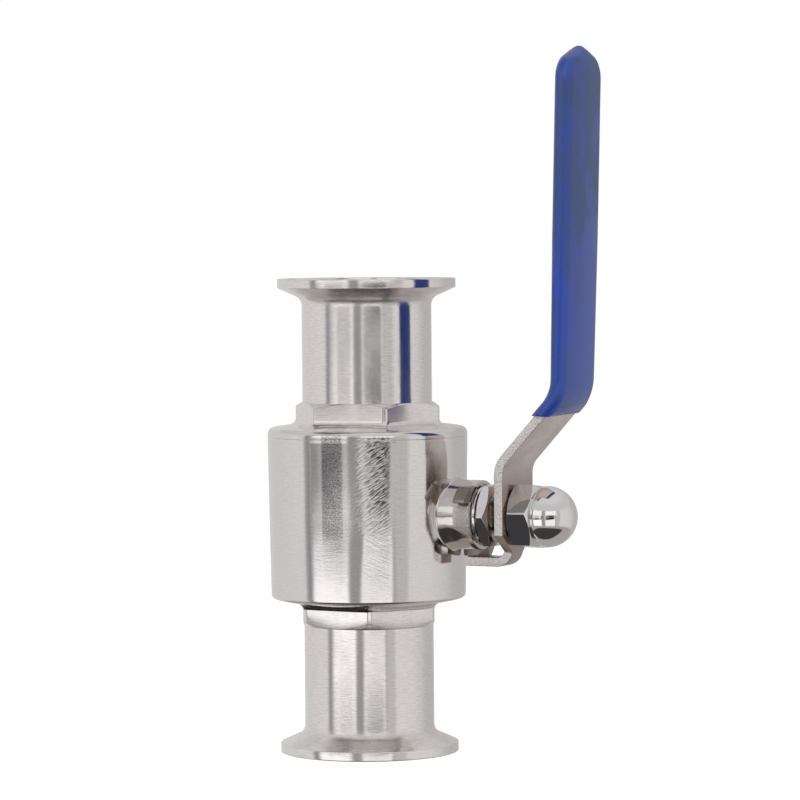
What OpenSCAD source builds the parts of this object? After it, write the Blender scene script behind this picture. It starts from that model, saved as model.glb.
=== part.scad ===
// Sanitary ball valve with two clamp ferrules, a full bore ball and a cranked lever.
// Millimetres. The origin is the centre of the lower ferrule's face, +Z runs along
// the pipe to the upper ferrule and +X runs outwards along the stem. The valve is open.

/* [Pipe line] */
// Length of the valve from clamp face to clamp face
face_to_face = 134.2; // [132:0.2:150]
// Height of the ball's centre and of the stem above the lower clamp face
centre_z = 68; // [66:0.5:72]
// Diameter of the flow passage
port_d = 32; // [26:0.5:33]
// Outside diameter of the tubes
tube_d = 36.7; // [35.5:0.1:38.1]

/* [Clamp ferrules] */
// Outside diameter of the ferrules
ferrule_d = 50.5; // [48:0.1:54]
// Thickness of the ferrule at its rim
ferrule_rim = 2.6; // [2:0.1:3.5]
// Slope of the ferrule's back, in degrees from its face
ferrule_slope = 24; // [18:1:28]
// Radius between the ferrule's back and the tube
ferrule_fillet = 3; // [1.5:0.1:4]
// Diameter of the gasket groove's middle line
groove_d = 43.5; // [42:0.1:45]
// Radius of the gasket groove
groove_r = 1.4; // [1:0.1:1.6]

/* [Ball and seats] */
// Diameter of the ball
ball_d = 46; // [45:0.5:49]
// Gap between the ball and each seat
seat_gap = 0.2; // [0.15:0.01:0.3]
// Thickness of a seat at the flow passage
seat_t = 3.8; // [3:0.1:5]
// Length of seat that wraps the ball past its flat
seat_lip = 3.5; // [3:0.1:4.5]
// Width of a seat's flat front rim
seat_rim = 3.4; // [2.5:0.1:4]
// Gap round a piece that is laid in a pocket
lay_gap = 0.1; // [0.05:0.01:0.15]

/* [Body] */
// Gap between the ball and the chamber's wall
chamber_gap = 1; // [0.8:0.1:2]
// Step from the chamber out to the end cap's thread
thread_step = 1; // [0.8:0.1:2]
// Width of the body gasket
gasket_w = 1.5; // [1:0.1:2.5]
// Thickness of the body gasket
gasket_t = 1.5; // [1:0.1:2]
// Thickness of the wall round the gasket
body_wall = 1.7; // [1.5:0.1:4]
// Thickness of the floor under the lower seat
floor_t = 5.2; // [4.5:0.1:7]
// Depth by which the body narrows towards its foot, on the radius
body_taper = 0.75; // [0.2:0.05:1]
// Radius of the body's lower edge
body_edge_r = 1.2; // [1:0.1:4]
// Slope of the body's foot, rising outwards, in degrees
foot_slope = 12; // [2:1:20]

/* [End cap] */
// Height of the seam above the upper seat's back
seam_rise = 1.1; // [1:0.1:2]
// Thickness of the end cap's disc
disc_t = 3.4; // [3:0.1:5]
// Radius of the disc's upper edge
disc_edge_r = 1.8; // [1:0.1:2.8]
// Slope of the disc's face, falling outwards, in degrees
disc_slope = 8; // [2:1:10]
// Length of spigot past the upper seat's front
spigot_short = 1.5; // [1:0.1:3]

/* [Hexagons] */
// Height of a hexagon's flats above the tube
hex_rise = 0.15; // [0.1:0.05:1]
// Length of the hexagon under the body
hex_lower_h = 6.2; // [5:0.1:8]
// Length of the hexagon on the end cap
hex_upper_h = 6.3; // [5:0.1:8]
// Slope of the lower hexagon's chamfer, in degrees from its face
hex_lower_slope = 33; // [20:1:35]
// Slope of the upper hexagon's chamfer, in degrees from its face
hex_upper_slope = 25; // [20:1:35]
// Diameter to which the lower hexagon's corners are turned
hex_lower_d = 42; // [41:0.1:44]
// Diameter to which the upper hexagon's corners are turned
hex_upper_d = 43.4; // [41:0.1:44]
// Turn of the hexagon under the body, in degrees
hex_lower_turn = -2.7; // [-30:0.1:30]
// Turn of the hexagon on the end cap, in degrees
hex_upper_turn = 11.2; // [-30:0.1:30]

/* [Stem and stuffing box] */
// Diameter of the stem
stem_d = 10; // [9:0.1:11]
// Radial running gap round the stem
run_gap = 0.08; // [0.04:0.01:0.1]
// Distance across the stem's two flats
flat_w = 7.6; // [7:0.1:8.4]
// Thickness of the tang that turns the ball
tang_t = 7.8; // [6:0.1:8.4]
// Gap round the tang in the ball's slot
tang_gap = 0.3; // [0.2:0.05:0.5]
// Wall left between the ball's slot and the flow passage
slot_web = 1.6; // [1:0.1:2]
// Diameter of the stem's inner shoulder
shoulder_d = 13; // [12.5:0.1:14]
// Thickness of the stem's inner shoulder
shoulder_t = 2.4; // [2:0.1:3]
// Thickness of the thrust washer
washer_t = 1.5; // [1:0.1:2]
// Thickness of the web between the thrust washer and the stuffing box
web_t = 2.4; // [2:0.1:3]
// Wall of the stuffing box's packing
packing_w = 2.2; // [2:0.1:2.4]
// Thickness of one V ring
ring_t = 1.1; // [0.9:0.1:1.4]
// Height of a V ring's ridge
ring_ridge = 0.9; // [0.6:0.1:1]

/* [Boss and stops] */
// Outside diameter of the stem boss
boss_d = 19.5; // [18:0.1:21]
// Wall of the boss's mouth
mouth_wall = 1.05; // [0.5:0.05:1.2]
// Depth of the boss's mouth
mouth_depth = 0.9; // [0.5:0.1:1.5]
// Width of the flare where the boss leaves the body, on the radius
boss_fillet = 1; // [0.5:0.1:3]
// Distance that a stop lug stands out past the boss
lug_out = 2.3; // [2.2:0.1:4]
// Width of a stop lug at its root
lug_w = 4.4; // [3.5:0.1:5]
// Width of a stop lug at its tip
lug_tip_w = 1; // [0.6:0.1:3]
// Length of the stop lug at the closed end, along the stem
lug_len = 3.9; // [3.5:0.1:7]
// Length of the stop lug at the open end, which runs back into the body
open_lug_len = 8.3; // [4:0.1:9]
// Gap between a stop lug and the lever's tab
stop_gap = 0.3; // [0.2:0.05:0.5]

/* [Nuts] */
// Distance across the flats of both nuts
nut_af = 17; // [16.5:0.1:18]
// Height of the stem nut
stem_nut_h = 4; // [3.5:0.1:6]
// Thickness of the follower's flange
flange_t = 1.3; // [1:0.1:2]
// Length of stem between the stem nut and the lever
shaft_gap = 2.9; // [2:0.1:4]
// Height of the dome nut's hexagon
dome_hex_h = 7.4; // [6:0.1:8]
// Overall height of the dome nut
dome_h = 17.5; // [17:0.1:19]
// Diameter of the dome
dome_d = 17.1; // [16:0.1:17.4]
// Step by which the neck under the dome is smaller than the dome, on the radius
dome_step = 0.6; // [0.3:0.1:1]
// Turn of the dome nut's hexagon on the stem, in degrees
dome_turn = 7.6; // [-30:0.1:30]
// Width of the turned chamfer inside the flats of both nuts
nut_chamfer = 0.8; // [0.3:0.1:1.2]
// Length of stem inside the dome nut
dome_grip = 10; // [8:0.1:11]

/* [Lever] */
// Width of the lever
lever_w = 20.2; // [18:0.1:22]
// Thickness of the lever
lever_t = 2.6; // [2.4:0.05:3]
// Height of the lever's first bend above the stem
crank_z = 14.3; // [13:0.1:18]
// Height of the cranked length
crank_rise = 19.8; // [17:0.1:26]
// Reach of the cranked length, outwards
crank_out = 18.1; // [14:0.1:20]
// Length of the grip above the second bend
grip_len = 94.4; // [80:0.1:120]
// Outward lean of the grip, in degrees
grip_lean = 1.55; // [0:0.05:4]
// Radius of the bend above the stem, at the lever's middle line
crank_bend_r = 6.5; // [5:0.5:9]
// Radius of the bend into the grip, at the lever's middle line
grip_bend_r = 12; // [8:0.5:14]
// Bend radius of the tab at its middle line
tab_bend_r = 3.6; // [3:0.1:4]
// Width of the stop tab
tab_w = 7.2; // [6:0.1:8]
// Distance between the boss and the tab
tab_drop = 1.75; // [1.5:0.05:2.1]
// Length of tab under the boss
tab_over = 3.7; // [3:0.1:5]
// Height of plate under the stem at full width
plate_foot = 4.9; // [4.5:0.1:6]
// Height over which the plate narrows to the tab
plate_taper = 5; // [4:0.1:5]

/* [Grip sleeve] */
// Wall of the sleeve
sleeve_wall = 1.5; // [1:0.05:1.8]
// Height of the sleeve's lower edge above the stem
sleeve_z = 28.4; // [25:0.1:32]
// Radius of the sleeve's long edges
sleeve_edge_r = 2; // [1:0.1:2.2]
// Radius of the grip's shoulders
point_r = 7; // [4:0.5:9]
// Slope from the grip's shoulders up to its point, in degrees
point_slope = 22; // [10:1:40]

/* [Hidden] */
$fn = 96;
over = 1;
arc_steps = 8;

// Small fixed gaps and lengths between neighbouring pieces
thread_gap = 0.05;
stack_gap = 0.05;
tang_end_gap = 0.4;
shoulder_gap = 0.4;
washer_gap = 0.1;
nut_gap = 0.15;
flange_sink = 0.3;
flange_edge_gap = 0.45;
header_web = 0.8;
nose_length = 0.5;
thread_runout = 2;
pocket_rise = 1;
tip_gap = 0.1;
cavity_end = 1.5;
flare_h = 2.8;
face_sink = 1;

// Rings of the sleeve's point, their reach below it and the half-width of the last one
tip_steps = 12;
point_depth = 11;
tip_half = 0.3;

port_r = port_d / 2;
tube_r = tube_d / 2;
ball_r = ball_d / 2;
stem_r = stem_d / 2;
boss_r = boss_d / 2;
nut_r = nut_af / 2;
hex_af = tube_d + 2 * hex_rise;

// Seat sizes, as distances from the ball's centre along the pipe
ball_flat = sqrt(ball_r * ball_r - port_r * port_r);
seat_back = ball_flat + seat_gap + seat_t;
seat_front = ball_flat - seat_lip;
seat_r = sqrt(ball_r * ball_r - seat_front * seat_front) + seat_rim;
pocket_r = seat_r + lay_gap;

// Body and end cap radii, from the ball outwards
chamber_r = ball_r + chamber_gap;
thread_r = chamber_r + thread_step;
gasket_r = thread_r + gasket_w;
recess_r = gasket_r + lay_gap;
body_r = recess_r + body_wall;

// Levels along the pipe
foot_z = centre_z - seat_back - floor_t;
seam_z = centre_z + seat_back + seam_rise;
disc_z = seam_z + disc_t;
spigot_z = centre_z + seat_front + spigot_short;
runout_z = spigot_z - thread_runout;
pocket_z = centre_z - seat_front + pocket_rise;

// Levels outwards along the stem
shoulder_x = ball_r + shoulder_gap;
washer_x = shoulder_x + shoulder_t + washer_gap;
web_x = washer_x + washer_t;
box_x = web_x + web_t;
base_t = ring_t + 2 * stack_gap;
ring_x = box_x + base_t;
header_x = ring_x + 2 * ring_t;
nose_x = header_x + ring_ridge + header_web;
mouth_x = nose_x + nose_length;
boss_x = mouth_x + mouth_depth;
flange_x = boss_x - flange_sink;
nut_x = flange_x + flange_t + nut_gap;
plate_x = nut_x + stem_nut_h + shaft_gap;
dome_x = plate_x + lever_t;

bore_r = stem_r + run_gap;
box_r = stem_r + packing_w;
mouth_r = boss_r - mouth_wall;
shoulder_r = shoulder_d / 2;

// Sloped foot and disc face: where each slope starts, and the middle of its edge's arc
foot_r = hex_lower_d / 2 - face_sink;
foot_side_r = body_r - body_taper;
foot_run = foot_side_r - body_edge_r * (1 - sin(foot_slope)) - foot_r;
foot_arc = [foot_side_r - body_edge_r, foot_z + body_edge_r * cos(foot_slope) + foot_run * tan(foot_slope)];
disc_r = hex_upper_d / 2 - face_sink;
disc_rim_r = min(disc_edge_r, disc_t - 1);
disc_run = body_r - disc_rim_r * (1 - sin(disc_slope)) - disc_r;
disc_arc = [body_r - disc_rim_r, disc_z - disc_rim_r * cos(disc_slope) - disc_run * tan(disc_slope)];

// Lever's middle line, in X and Z, from the tab's end to the grip's end
tab_z = centre_z - boss_r - tab_drop - lever_t / 2;
lever_x = plate_x + lever_t / 2;
crank_top = [lever_x + crank_out, centre_z + crank_z + crank_rise];
grip_dir = [sin(grip_lean), cos(grip_lean)];
grip_top = crank_top + grip_len * grip_dir;
lever_path = [[boss_x - tab_over, tab_z], [lever_x, tab_z], [lever_x, centre_z + crank_z],
    crank_top, grip_top];
lever_bends = [tab_bend_r, crank_bend_r, grip_bend_r];
crank_dir = unit(crank_top - lever_path[2]);
sleeve_foot = lever_path[2] + crank_bend_r * crank_dir;
sleeve_w = lever_w + 2 * sleeve_wall;
sleeve_t = lever_t + 2 * sleeve_wall;

// Lengths and turns in a plane
function unit(v) = v / norm(v);
function left_of(v) = [-v.y, v.x];
function spin(v, a) = [v.x * cos(a) - v.y * sin(a), v.x * sin(a) + v.y * cos(a)];
function turn_of(u, v) = atan2(u.x * v.y - u.y * v.x, u.x * v.x + u.y * v.y);

// Points along an arc from angle a to angle b
function arc(centre, r, a, b, steps = arc_steps) =
    [for (i = [0:steps]) centre + r * [cos(a + (b - a) * i / steps), sin(a + (b - a) * i / steps)]];

// One side of a bent strip, at the distance d to the left of its middle line
function bend_side(p, r, d, i) =
    let (u = unit(p[i] - p[i - 1]), v = unit(p[i + 1] - p[i]), a = turn_of(u, v), s = sign(a))
    let (start = p[i] - r * tan(abs(a) / 2) * u, centre = start + s * r * left_of(u))
    [for (k = [0:arc_steps]) centre + (r - s * d) * spin(-s * left_of(u), a * k / arc_steps)];
function strip_side(p, bends, d) = [
    p[0] + d * left_of(unit(p[1] - p[0])),
    for (i = [1:len(p) - 2]) each bend_side(p, bends[i - 1], d, i),
    p[len(p) - 1] + d * left_of(unit(p[len(p) - 1] - p[len(p) - 2]))];
function reversed(list) = [for (i = [len(list) - 1:-1:0]) list[i]];
function strip(p, bends, t) =
    concat(strip_side(p, bends, t / 2), reversed(strip_side(p, bends, -t / 2)));

// Section of a bar with round edges, as offsets across its thickness and its width
function round_bar(t, w, r) = [
    each arc([t / 2 - r, w / 2 - r], r, 0, 90, 4),
    each arc([r - t / 2, w / 2 - r], r, 90, 180, 4),
    each arc([r - t / 2, r - w / 2], r, 180, 270, 4),
    each arc([t / 2 - r, r - w / 2], r, 270, 360, 4)];

// Stands what is drawn along Z along the stem instead
module along_stem() {
    translate([0, 0, centre_z]) rotate([0, 90, 0]) children();
}

// Tube along Z
module ring(r, inner_r, z, h) {
    difference() {
        translate([0, 0, z]) cylinder(r = r, h = h);
        translate([0, 0, z - over]) cylinder(r = inner_r, h = h + 2 * over);
    }
}

// Extrudes an outline in X and Z across the width w, centred on Y
module across(w) {
    translate([0, w / 2, 0]) rotate([90, 0, 0]) linear_extrude(w) children();
}

// Solid clamp ferrule with its tube, face down at Z 0 and of the length h
module ferrule(h) {
    fillet_r = tube_r + ferrule_fillet;
    fillet_z = ferrule_rim + (ferrule_d / 2 - fillet_r) * tan(ferrule_slope)
        + ferrule_fillet / cos(ferrule_slope);
    rim_r = ferrule_d / 2;
    rim_edge = 0.3;
    rotate_extrude() polygon([[0, 0], [rim_r - rim_edge, 0], [rim_r, rim_edge],
        [rim_r, ferrule_rim - rim_edge], [rim_r - rim_edge, ferrule_rim],
        each arc([fillet_r, fillet_z], ferrule_fillet, 270 - ferrule_slope, 180),
        [tube_r, h], [0, h]]);
}

// Half-round gasket groove in a clamp face at Z 0
module groove() {
    rotate_extrude() translate([groove_d / 2, 0]) circle(r = groove_r, $fn = 48);
}

// Hexagon that stands on Z 0 with its chamfer at the top
module hexagon(h, turn, slope, d) {
    r = d / 2;
    inner_r = tube_r - over;
    inner_h = h + over * tan(slope);
    intersection() {
        rotate([0, 0, turn]) cylinder(r = hex_af / 2 / cos(30), h = h + over, $fn = 6);
        rotate_extrude() polygon([[0, 0], [r, 0], [r, h - (r - tube_r) * tan(slope)],
            [inner_r, inner_h], [0, inner_h]]);
    }
}

// Hexagon nut along Z from Z 0, turned to the radii foot_r and top_r at its faces
module nut_blank(h, foot_r, top_r) {
    corner_r = nut_r / cos(30);
    slope = tan(30);
    intersection() {
        cylinder(r = corner_r, h = h, $fn = 6);
        rotate_extrude() polygon([[0, 0], [foot_r, 0], [corner_r, (corner_r - foot_r) * slope],
            [corner_r, h - (corner_r - top_r) * slope], [top_r, h], [0, h]]);
    }
}

// Stop lug on the boss beside the tab that hangs straight down, with the stem at Z 0
module stop_lug(length) {
    lug_r = boss_r + lug_out;
    stop_y = tab_w / 2 + stop_gap;
    root_y = stop_y + lug_w;
    boss_z = -sqrt(boss_r * boss_r - root_y * root_y);
    translate([boss_x - length, 0, 0]) rotate([90, 0, 90]) linear_extrude(length)
        polygon([[stop_y, -stem_r], [stop_y, -lug_r], [stop_y + lug_tip_w, -lug_r],
            [root_y, -root_y], [root_y, boss_z + over / 2],
            [root_y - over, -stem_r + over]]);
}

module boss() {
    along_stem() cylinder(r = boss_r, h = boss_x);
    along_stem() translate([0, 0, body_r - flare_h]) cylinder(r1 = boss_r + boss_fillet, r2 = boss_r, h = flare_h);
}

module valve_body() {
    color("silver") difference() {
        union() {
            ferrule(foot_z + over);
            translate([0, 0, foot_z + over]) mirror([0, 0, 1])
                hexagon(hex_lower_h + over, hex_lower_turn, hex_lower_slope, hex_lower_d);
            rotate_extrude() polygon([[0, foot_z], [foot_r, foot_z],
                each arc(foot_arc, body_edge_r, 270 + foot_slope, 360), [body_r, seam_z], [0, seam_z]]);
            boss();
            translate([0, 0, centre_z]) stop_lug(open_lug_len);
            translate([0, 0, centre_z]) rotate([-90, 0, 0]) mirror([0, 1, 0]) stop_lug(lug_len);
        }
        groove();
        translate([0, 0, -over]) cylinder(r = port_r, h = centre_z);
        translate([0, 0, centre_z - seat_back]) cylinder(r = pocket_r, h = pocket_z - centre_z + seat_back + over);
        translate([0, 0, pocket_z]) cylinder(r = chamber_r, h = seam_z - pocket_z);
        translate([0, 0, runout_z]) cylinder(r = thread_r, h = seam_z - runout_z + over);
        translate([0, 0, seam_z - gasket_t]) cylinder(r = recess_r, h = gasket_t + over);
        along_stem() cylinder(r = bore_r, h = boss_x);
        along_stem() cylinder(r = shoulder_r + shoulder_gap, h = web_x);
        along_stem() translate([0, 0, box_x]) cylinder(r = box_r, h = boss_x);
        along_stem() translate([0, 0, mouth_x]) cylinder(r = mouth_r, h = boss_x);
    }
}

module end_cap() {
    color("silver") difference() {
        union() {
            translate([0, 0, face_to_face]) mirror([0, 0, 1]) ferrule(face_to_face - disc_z + over);
            translate([0, 0, disc_z - over])
                hexagon(hex_upper_h + over, hex_upper_turn, hex_upper_slope, hex_upper_d);
            rotate_extrude() polygon([[0, seam_z], [body_r, seam_z],
                each arc(disc_arc, disc_rim_r, 0, 90 - disc_slope), [disc_r, disc_z], [0, disc_z]]);
            translate([0, 0, spigot_z]) cylinder(r = thread_r - lay_gap, h = seam_z - spigot_z + over);
        }
        translate([0, 0, face_to_face]) groove();
        translate([0, 0, spigot_z - over]) cylinder(r = port_r, h = face_to_face);
        translate([0, 0, spigot_z - over])
            cylinder(r = pocket_r, h = centre_z + seat_back - spigot_z + over);
    }
}

module body_gasket() {
    color("white") ring(gasket_r, thread_r, seam_z - gasket_t, gasket_t);
}

// Seat ring under the ball, with its back at Z 0 and the ball's centre at seat_back
module seat() {
    difference() {
        ring(seat_r, port_r, 0, seat_back - seat_front);
        translate([0, 0, seat_back]) sphere(r = ball_r + seat_gap);
    }
}

module seat_lower() {
    color("white") translate([0, 0, centre_z - seat_back]) seat();
}

module seat_upper() {
    color("white") translate([0, 0, centre_z + seat_back]) mirror([0, 0, 1]) seat();
}

module ball() {
    slot_w = tang_t + 2 * tang_gap;
    color("lightgray") translate([0, 0, centre_z]) difference() {
        sphere(r = ball_r);
        cylinder(r = port_r, h = 2 * ball_d, center = true);
        translate([port_r + slot_web, -ball_r, -slot_w / 2]) cube([ball_r, ball_d, slot_w]);
    }
}

module thrust_washer() {
    color("white") along_stem() ring(shoulder_r + shoulder_gap - washer_gap, bore_r, washer_x, washer_t);
}

// Packing ring with its foot's edges at X x, a ridge on its top and a groove below where asked
module packing(x, h, ridge, notch) {
    r = box_r - thread_gap;
    mid_r = (r + bore_r) / 2;
    color("white") along_stem() rotate_extrude()
        polygon([[bore_r, x], [mid_r, x + notch], [r, x], [r, x + h], [mid_r, x + h + ridge], [bore_r, x + h]]);
}

module packing_base() {
    packing(box_x, base_t - stack_gap, ring_ridge, 0);
}

module packing_ring_lower() {
    packing(ring_x, ring_t - stack_gap, ring_ridge, ring_ridge);
}

module packing_ring_upper() {
    packing(ring_x + ring_t, ring_t - stack_gap, ring_ridge, ring_ridge);
}

module packing_header() {
    packing(header_x, nose_x - header_x, 0, ring_ridge);
}

module gland_follower() {
    color("silver") along_stem() difference() {
        union() {
            translate([0, 0, nose_x]) cylinder(r = box_r - lay_gap, h = flange_x - nose_x + over);
            translate([0, 0, flange_x]) cylinder(r = mouth_r - flange_edge_gap, h = flange_t);
        }
        cylinder(r = bore_r, h = 2 * flange_x);
    }
}

module stem() {
    tang_x = port_r + slot_web + tang_end_gap;
    end_x = dome_x + dome_grip;
    color("silver") union() {
        intersection() {
            along_stem() translate([0, 0, tang_x])
                cylinder(r = shoulder_r - lay_gap, h = shoulder_x + shoulder_t / 2 - tang_x);
            translate([0, -ball_r, centre_z - tang_t / 2]) cube([3 * ball_r, ball_d, tang_t]);
        }
        along_stem() translate([0, 0, shoulder_x]) cylinder(r = shoulder_r, h = shoulder_t);
        along_stem() translate([0, 0, shoulder_x]) cylinder(r = stem_r, h = plate_x - shoulder_x);
        intersection() {
            along_stem() translate([0, 0, plate_x - over]) cylinder(r = stem_r, h = end_x - plate_x + over);
            translate([plate_x - over, -flat_w / 2, 0]) cube([end_x, flat_w, 2 * centre_z]);
        }
    }
}

module stem_nut() {
    color("silver") along_stem() translate([0, 0, nut_x]) difference() {
        rotate([0, 0, 30]) nut_blank(stem_nut_h, nut_r - nut_chamfer, nut_r - nut_chamfer);
        translate([0, 0, -over]) cylinder(r = stem_r + thread_gap, h = stem_nut_h + 2 * over);
    }
}

module dome_nut() {
    dome_r = dome_d / 2;
    dome_top = dome_h - dome_r;
    color("silver") along_stem() translate([0, 0, dome_x]) difference() {
        union() {
            rotate([0, 0, 30 - dome_turn]) nut_blank(dome_hex_h, nut_r - nut_chamfer, dome_r - dome_step);
            rotate_extrude() {
                polygon([[0, dome_hex_h - over], [dome_r - dome_step, dome_hex_h - over],
                    [dome_r - dome_step, dome_hex_h], [dome_r, dome_top], [0, dome_top]]);
                translate([0, dome_top]) intersection() {
                    circle(r = dome_r);
                    square(dome_r);
                }
            }
        }
        translate([0, 0, -over]) cylinder(r = stem_r + thread_gap, h = dome_grip + cavity_end + over);
    }
}

// Outline of a bar in Y and Z, from z up to the point at top, with round shoulders
module pointed_outline(w, z, top) {
    r = point_r - (sleeve_w - w) / 2;
    centre_y = w / 2 - r;
    shoulder = top - r * cos(point_slope) - (centre_y + r * sin(point_slope)) * tan(point_slope);
    side = arc([centre_y, shoulder], r, 0, 90 - point_slope);
    polygon([[-w / 2, z], [w / 2, z], each side, [0, top], each reversed([for (p = side) [-p.x, p.y]])]);
}

module lever() {
    top = grip_top.y - tip_gap;
    low = centre_z - plate_foot;
    color("silver") difference() {
        intersection() {
            across(lever_w) polygon(strip(lever_path, lever_bends, lever_t));
            rotate([90, 0, 90]) linear_extrude(2 * lever_path[4].x) union() {
                pointed_outline(lever_w, low, top);
                polygon([[-lever_w / 2, low + over], [-lever_w / 2, low], [-tab_w / 2, low - plate_taper],
                    [-tab_w / 2, 0], [tab_w / 2, 0], [tab_w / 2, low - plate_taper], [lever_w / 2, low],
                    [lever_w / 2, low + over]]);
            }
        }
        intersection() {
            along_stem() translate([0, 0, plate_x - over]) cylinder(r = stem_r + lay_gap, h = lever_t + 2 * over);
            translate([plate_x - over, -flat_w / 2 - lay_gap, 0])
                cube([lever_t + 2 * over, flat_w + 2 * lay_gap, 2 * centre_z]);
        }
    }
}

// Ring of points of a bar's section, at a point of its path and square to its direction
function section_ring(section, at, dir) =
    [for (q = section) [at.x + q[0] * dir.y, q[1], at.y - q[0] * dir.x]];

// Solid skin over rings of equally many points, closed by its first and its last ring
module loft(rings) {
    n = len(rings[0]);
    last = len(rings) - 1;
    sides = [for (i = [0:last - 1]) for (k = [0:n - 1])
        let (a = i * n + k, b = i * n + (k + 1) % n)
        each [[a, b, a + n], [b, b + n, a + n]]];
    polyhedron(points = [for (ring = rings) each ring],
        faces = concat([[for (k = [n - 1:-1:0]) k]], sides, [[for (k = [0:n - 1]) last * n + k]]));
}

// Half-width of the sleeve's outline at the depth d below its point
function sleeve_half(d) =
    let (r = point_r, centre_y = sleeve_w / 2 - r)
    let (knee_y = centre_y + r * sin(point_slope), knee_d = knee_y * tan(point_slope))
    let (drop = r * cos(point_slope) + knee_d - d)
    d < knee_d ? d / tan(point_slope) : centre_y + (drop > 0 ? sqrt(r * r - drop * drop) : r);

// Thickness of the sleeve at the depth d below its point, rounded like its edges
function sleeve_thick(d) =
    let (e = max(sleeve_edge_r - d * cos(point_slope), 0), r = sleeve_edge_r)
    sleeve_t - 2 * r + 2 * sqrt(r * r - e * e);

function sleeve_section(d) =
    let (half = max(sleeve_half(d), tip_half), t = sleeve_thick(d))
    round_bar(t, 2 * half, min(sleeve_edge_r, 0.48 * t, 0.9 * half));

module grip_sleeve() {
    tip = grip_top + sleeve_wall * grip_dir;
    section = sleeve_section(point_r + sleeve_w);
    bend = bend_side([lever_path[2], crank_top, tip], grip_bend_r, 0, 1);
    turn = turn_of(crank_dir, grip_dir);
    depths = [for (k = [tip_steps:-1:0]) tip_gap + point_depth * pow(k / tip_steps, 2)];
    rings = [
        section_ring(section, sleeve_foot, crank_dir),
        for (k = [0:arc_steps]) section_ring(section, bend[k], spin(crank_dir, turn * k / arc_steps)),
        for (d = depths) section_ring(sleeve_section(d), tip - d * grip_dir, grip_dir)];
    color("royalblue") difference() {
        loft(rings);
        translate([0, -sleeve_w, centre_z + sleeve_z - sleeve_w])
            cube([2 * tip.x, 2 * sleeve_w, sleeve_w]);
        intersection() {
            across(lever_w + 2 * thread_gap)
                polygon(strip(lever_path, lever_bends, lever_t + 2 * thread_gap));
            rotate([90, 0, 90]) linear_extrude(2 * tip.x)
                pointed_outline(lever_w + 2 * thread_gap, 0, grip_top.y);
        }
    }
}

valve_body();
end_cap();
body_gasket();
seat_lower();
seat_upper();
ball();
thrust_washer();
packing_base();
packing_ring_lower();
packing_ring_upper();
packing_header();
gland_follower();
stem();
stem_nut();
lever();
grip_sleeve();
dome_nut();
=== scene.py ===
"""Looks of the sanitary ball valve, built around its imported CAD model.

Every length in the classes is in millimetres, in the CAD model's frame: the origin is the
centre of the lower ferrule's face, +Z runs along the pipe and +X outwards along the stem.
Meshes are scaled to metres when they are made.

How the shapes are worked out:

- A turned piece is a profile of radius and height carried round an axis. The profile is a
  closed loop of corners, and a corner with a radius becomes an arc between its two tangent
  points.
- A hexagon has the radius (flats / 2) / cos(a), where a is the angle from the middle of the
  nearest flat, and never more than the diameter that its corners are turned to. Its chamfer
  is a cone, so each point of the chamfer's edge lies where the cone reaches that radius.
- The boss leaves the drum in a fillet. At the distance p from the stem's axis its height is
  the drum's own height at that place plus f - sqrt(f^2 - (b + f - p)^2), with the boss's
  radius b and the fillet's radius f.
- The stem's thread takes depth * |2 * frac(x / pitch + angle / 360) - 1| off its radius.
- The lever and its sleeve are a section carried along a bent path: straight lengths joined by
  arcs, with the section square to the path.
"""

import logging
import math
from dataclasses import dataclass, field
from enum import Enum

import bpy
import numpy as np
from mathutils import Matrix, Vector


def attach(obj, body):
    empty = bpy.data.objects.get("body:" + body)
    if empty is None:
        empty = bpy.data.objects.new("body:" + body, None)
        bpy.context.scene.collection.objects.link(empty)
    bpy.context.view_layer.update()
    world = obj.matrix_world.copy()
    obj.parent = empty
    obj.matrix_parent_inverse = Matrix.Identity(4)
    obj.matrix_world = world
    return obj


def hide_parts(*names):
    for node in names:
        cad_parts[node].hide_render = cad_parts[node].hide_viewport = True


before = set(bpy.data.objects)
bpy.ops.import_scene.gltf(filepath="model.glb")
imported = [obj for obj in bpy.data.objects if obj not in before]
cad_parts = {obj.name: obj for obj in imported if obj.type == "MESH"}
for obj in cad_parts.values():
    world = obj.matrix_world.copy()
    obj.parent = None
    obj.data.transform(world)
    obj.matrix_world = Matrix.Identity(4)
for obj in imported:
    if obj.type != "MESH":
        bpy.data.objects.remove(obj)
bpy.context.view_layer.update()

LOG = logging.getLogger("valve")
MM = 0.001
MICRON = 1e-6
DEGREES = 180 / math.pi
LAY_MAP = "lay"
STEM_Z = 68.0
Stops = tuple[tuple[float, float], ...]
Colour = tuple[float, float, float]
Point = tuple[float, float, float]
Corners = tuple[tuple[float, float, float], ...]
Socket = bpy.types.NodeSocket


class Axis(Enum):
    """Axis that a piece is turned about."""

    PIPE = "pipe"
    STEM = "stem"


class Lay(Enum):
    """Direction in which a surface was brushed or turned."""

    AROUND_PIPE = "around the pipe"
    AROUND_STEM = "around the stem"
    ALONG_LEVER = "along the lever"
    ACROSS_EDGE = "across the sheared edge"


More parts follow.
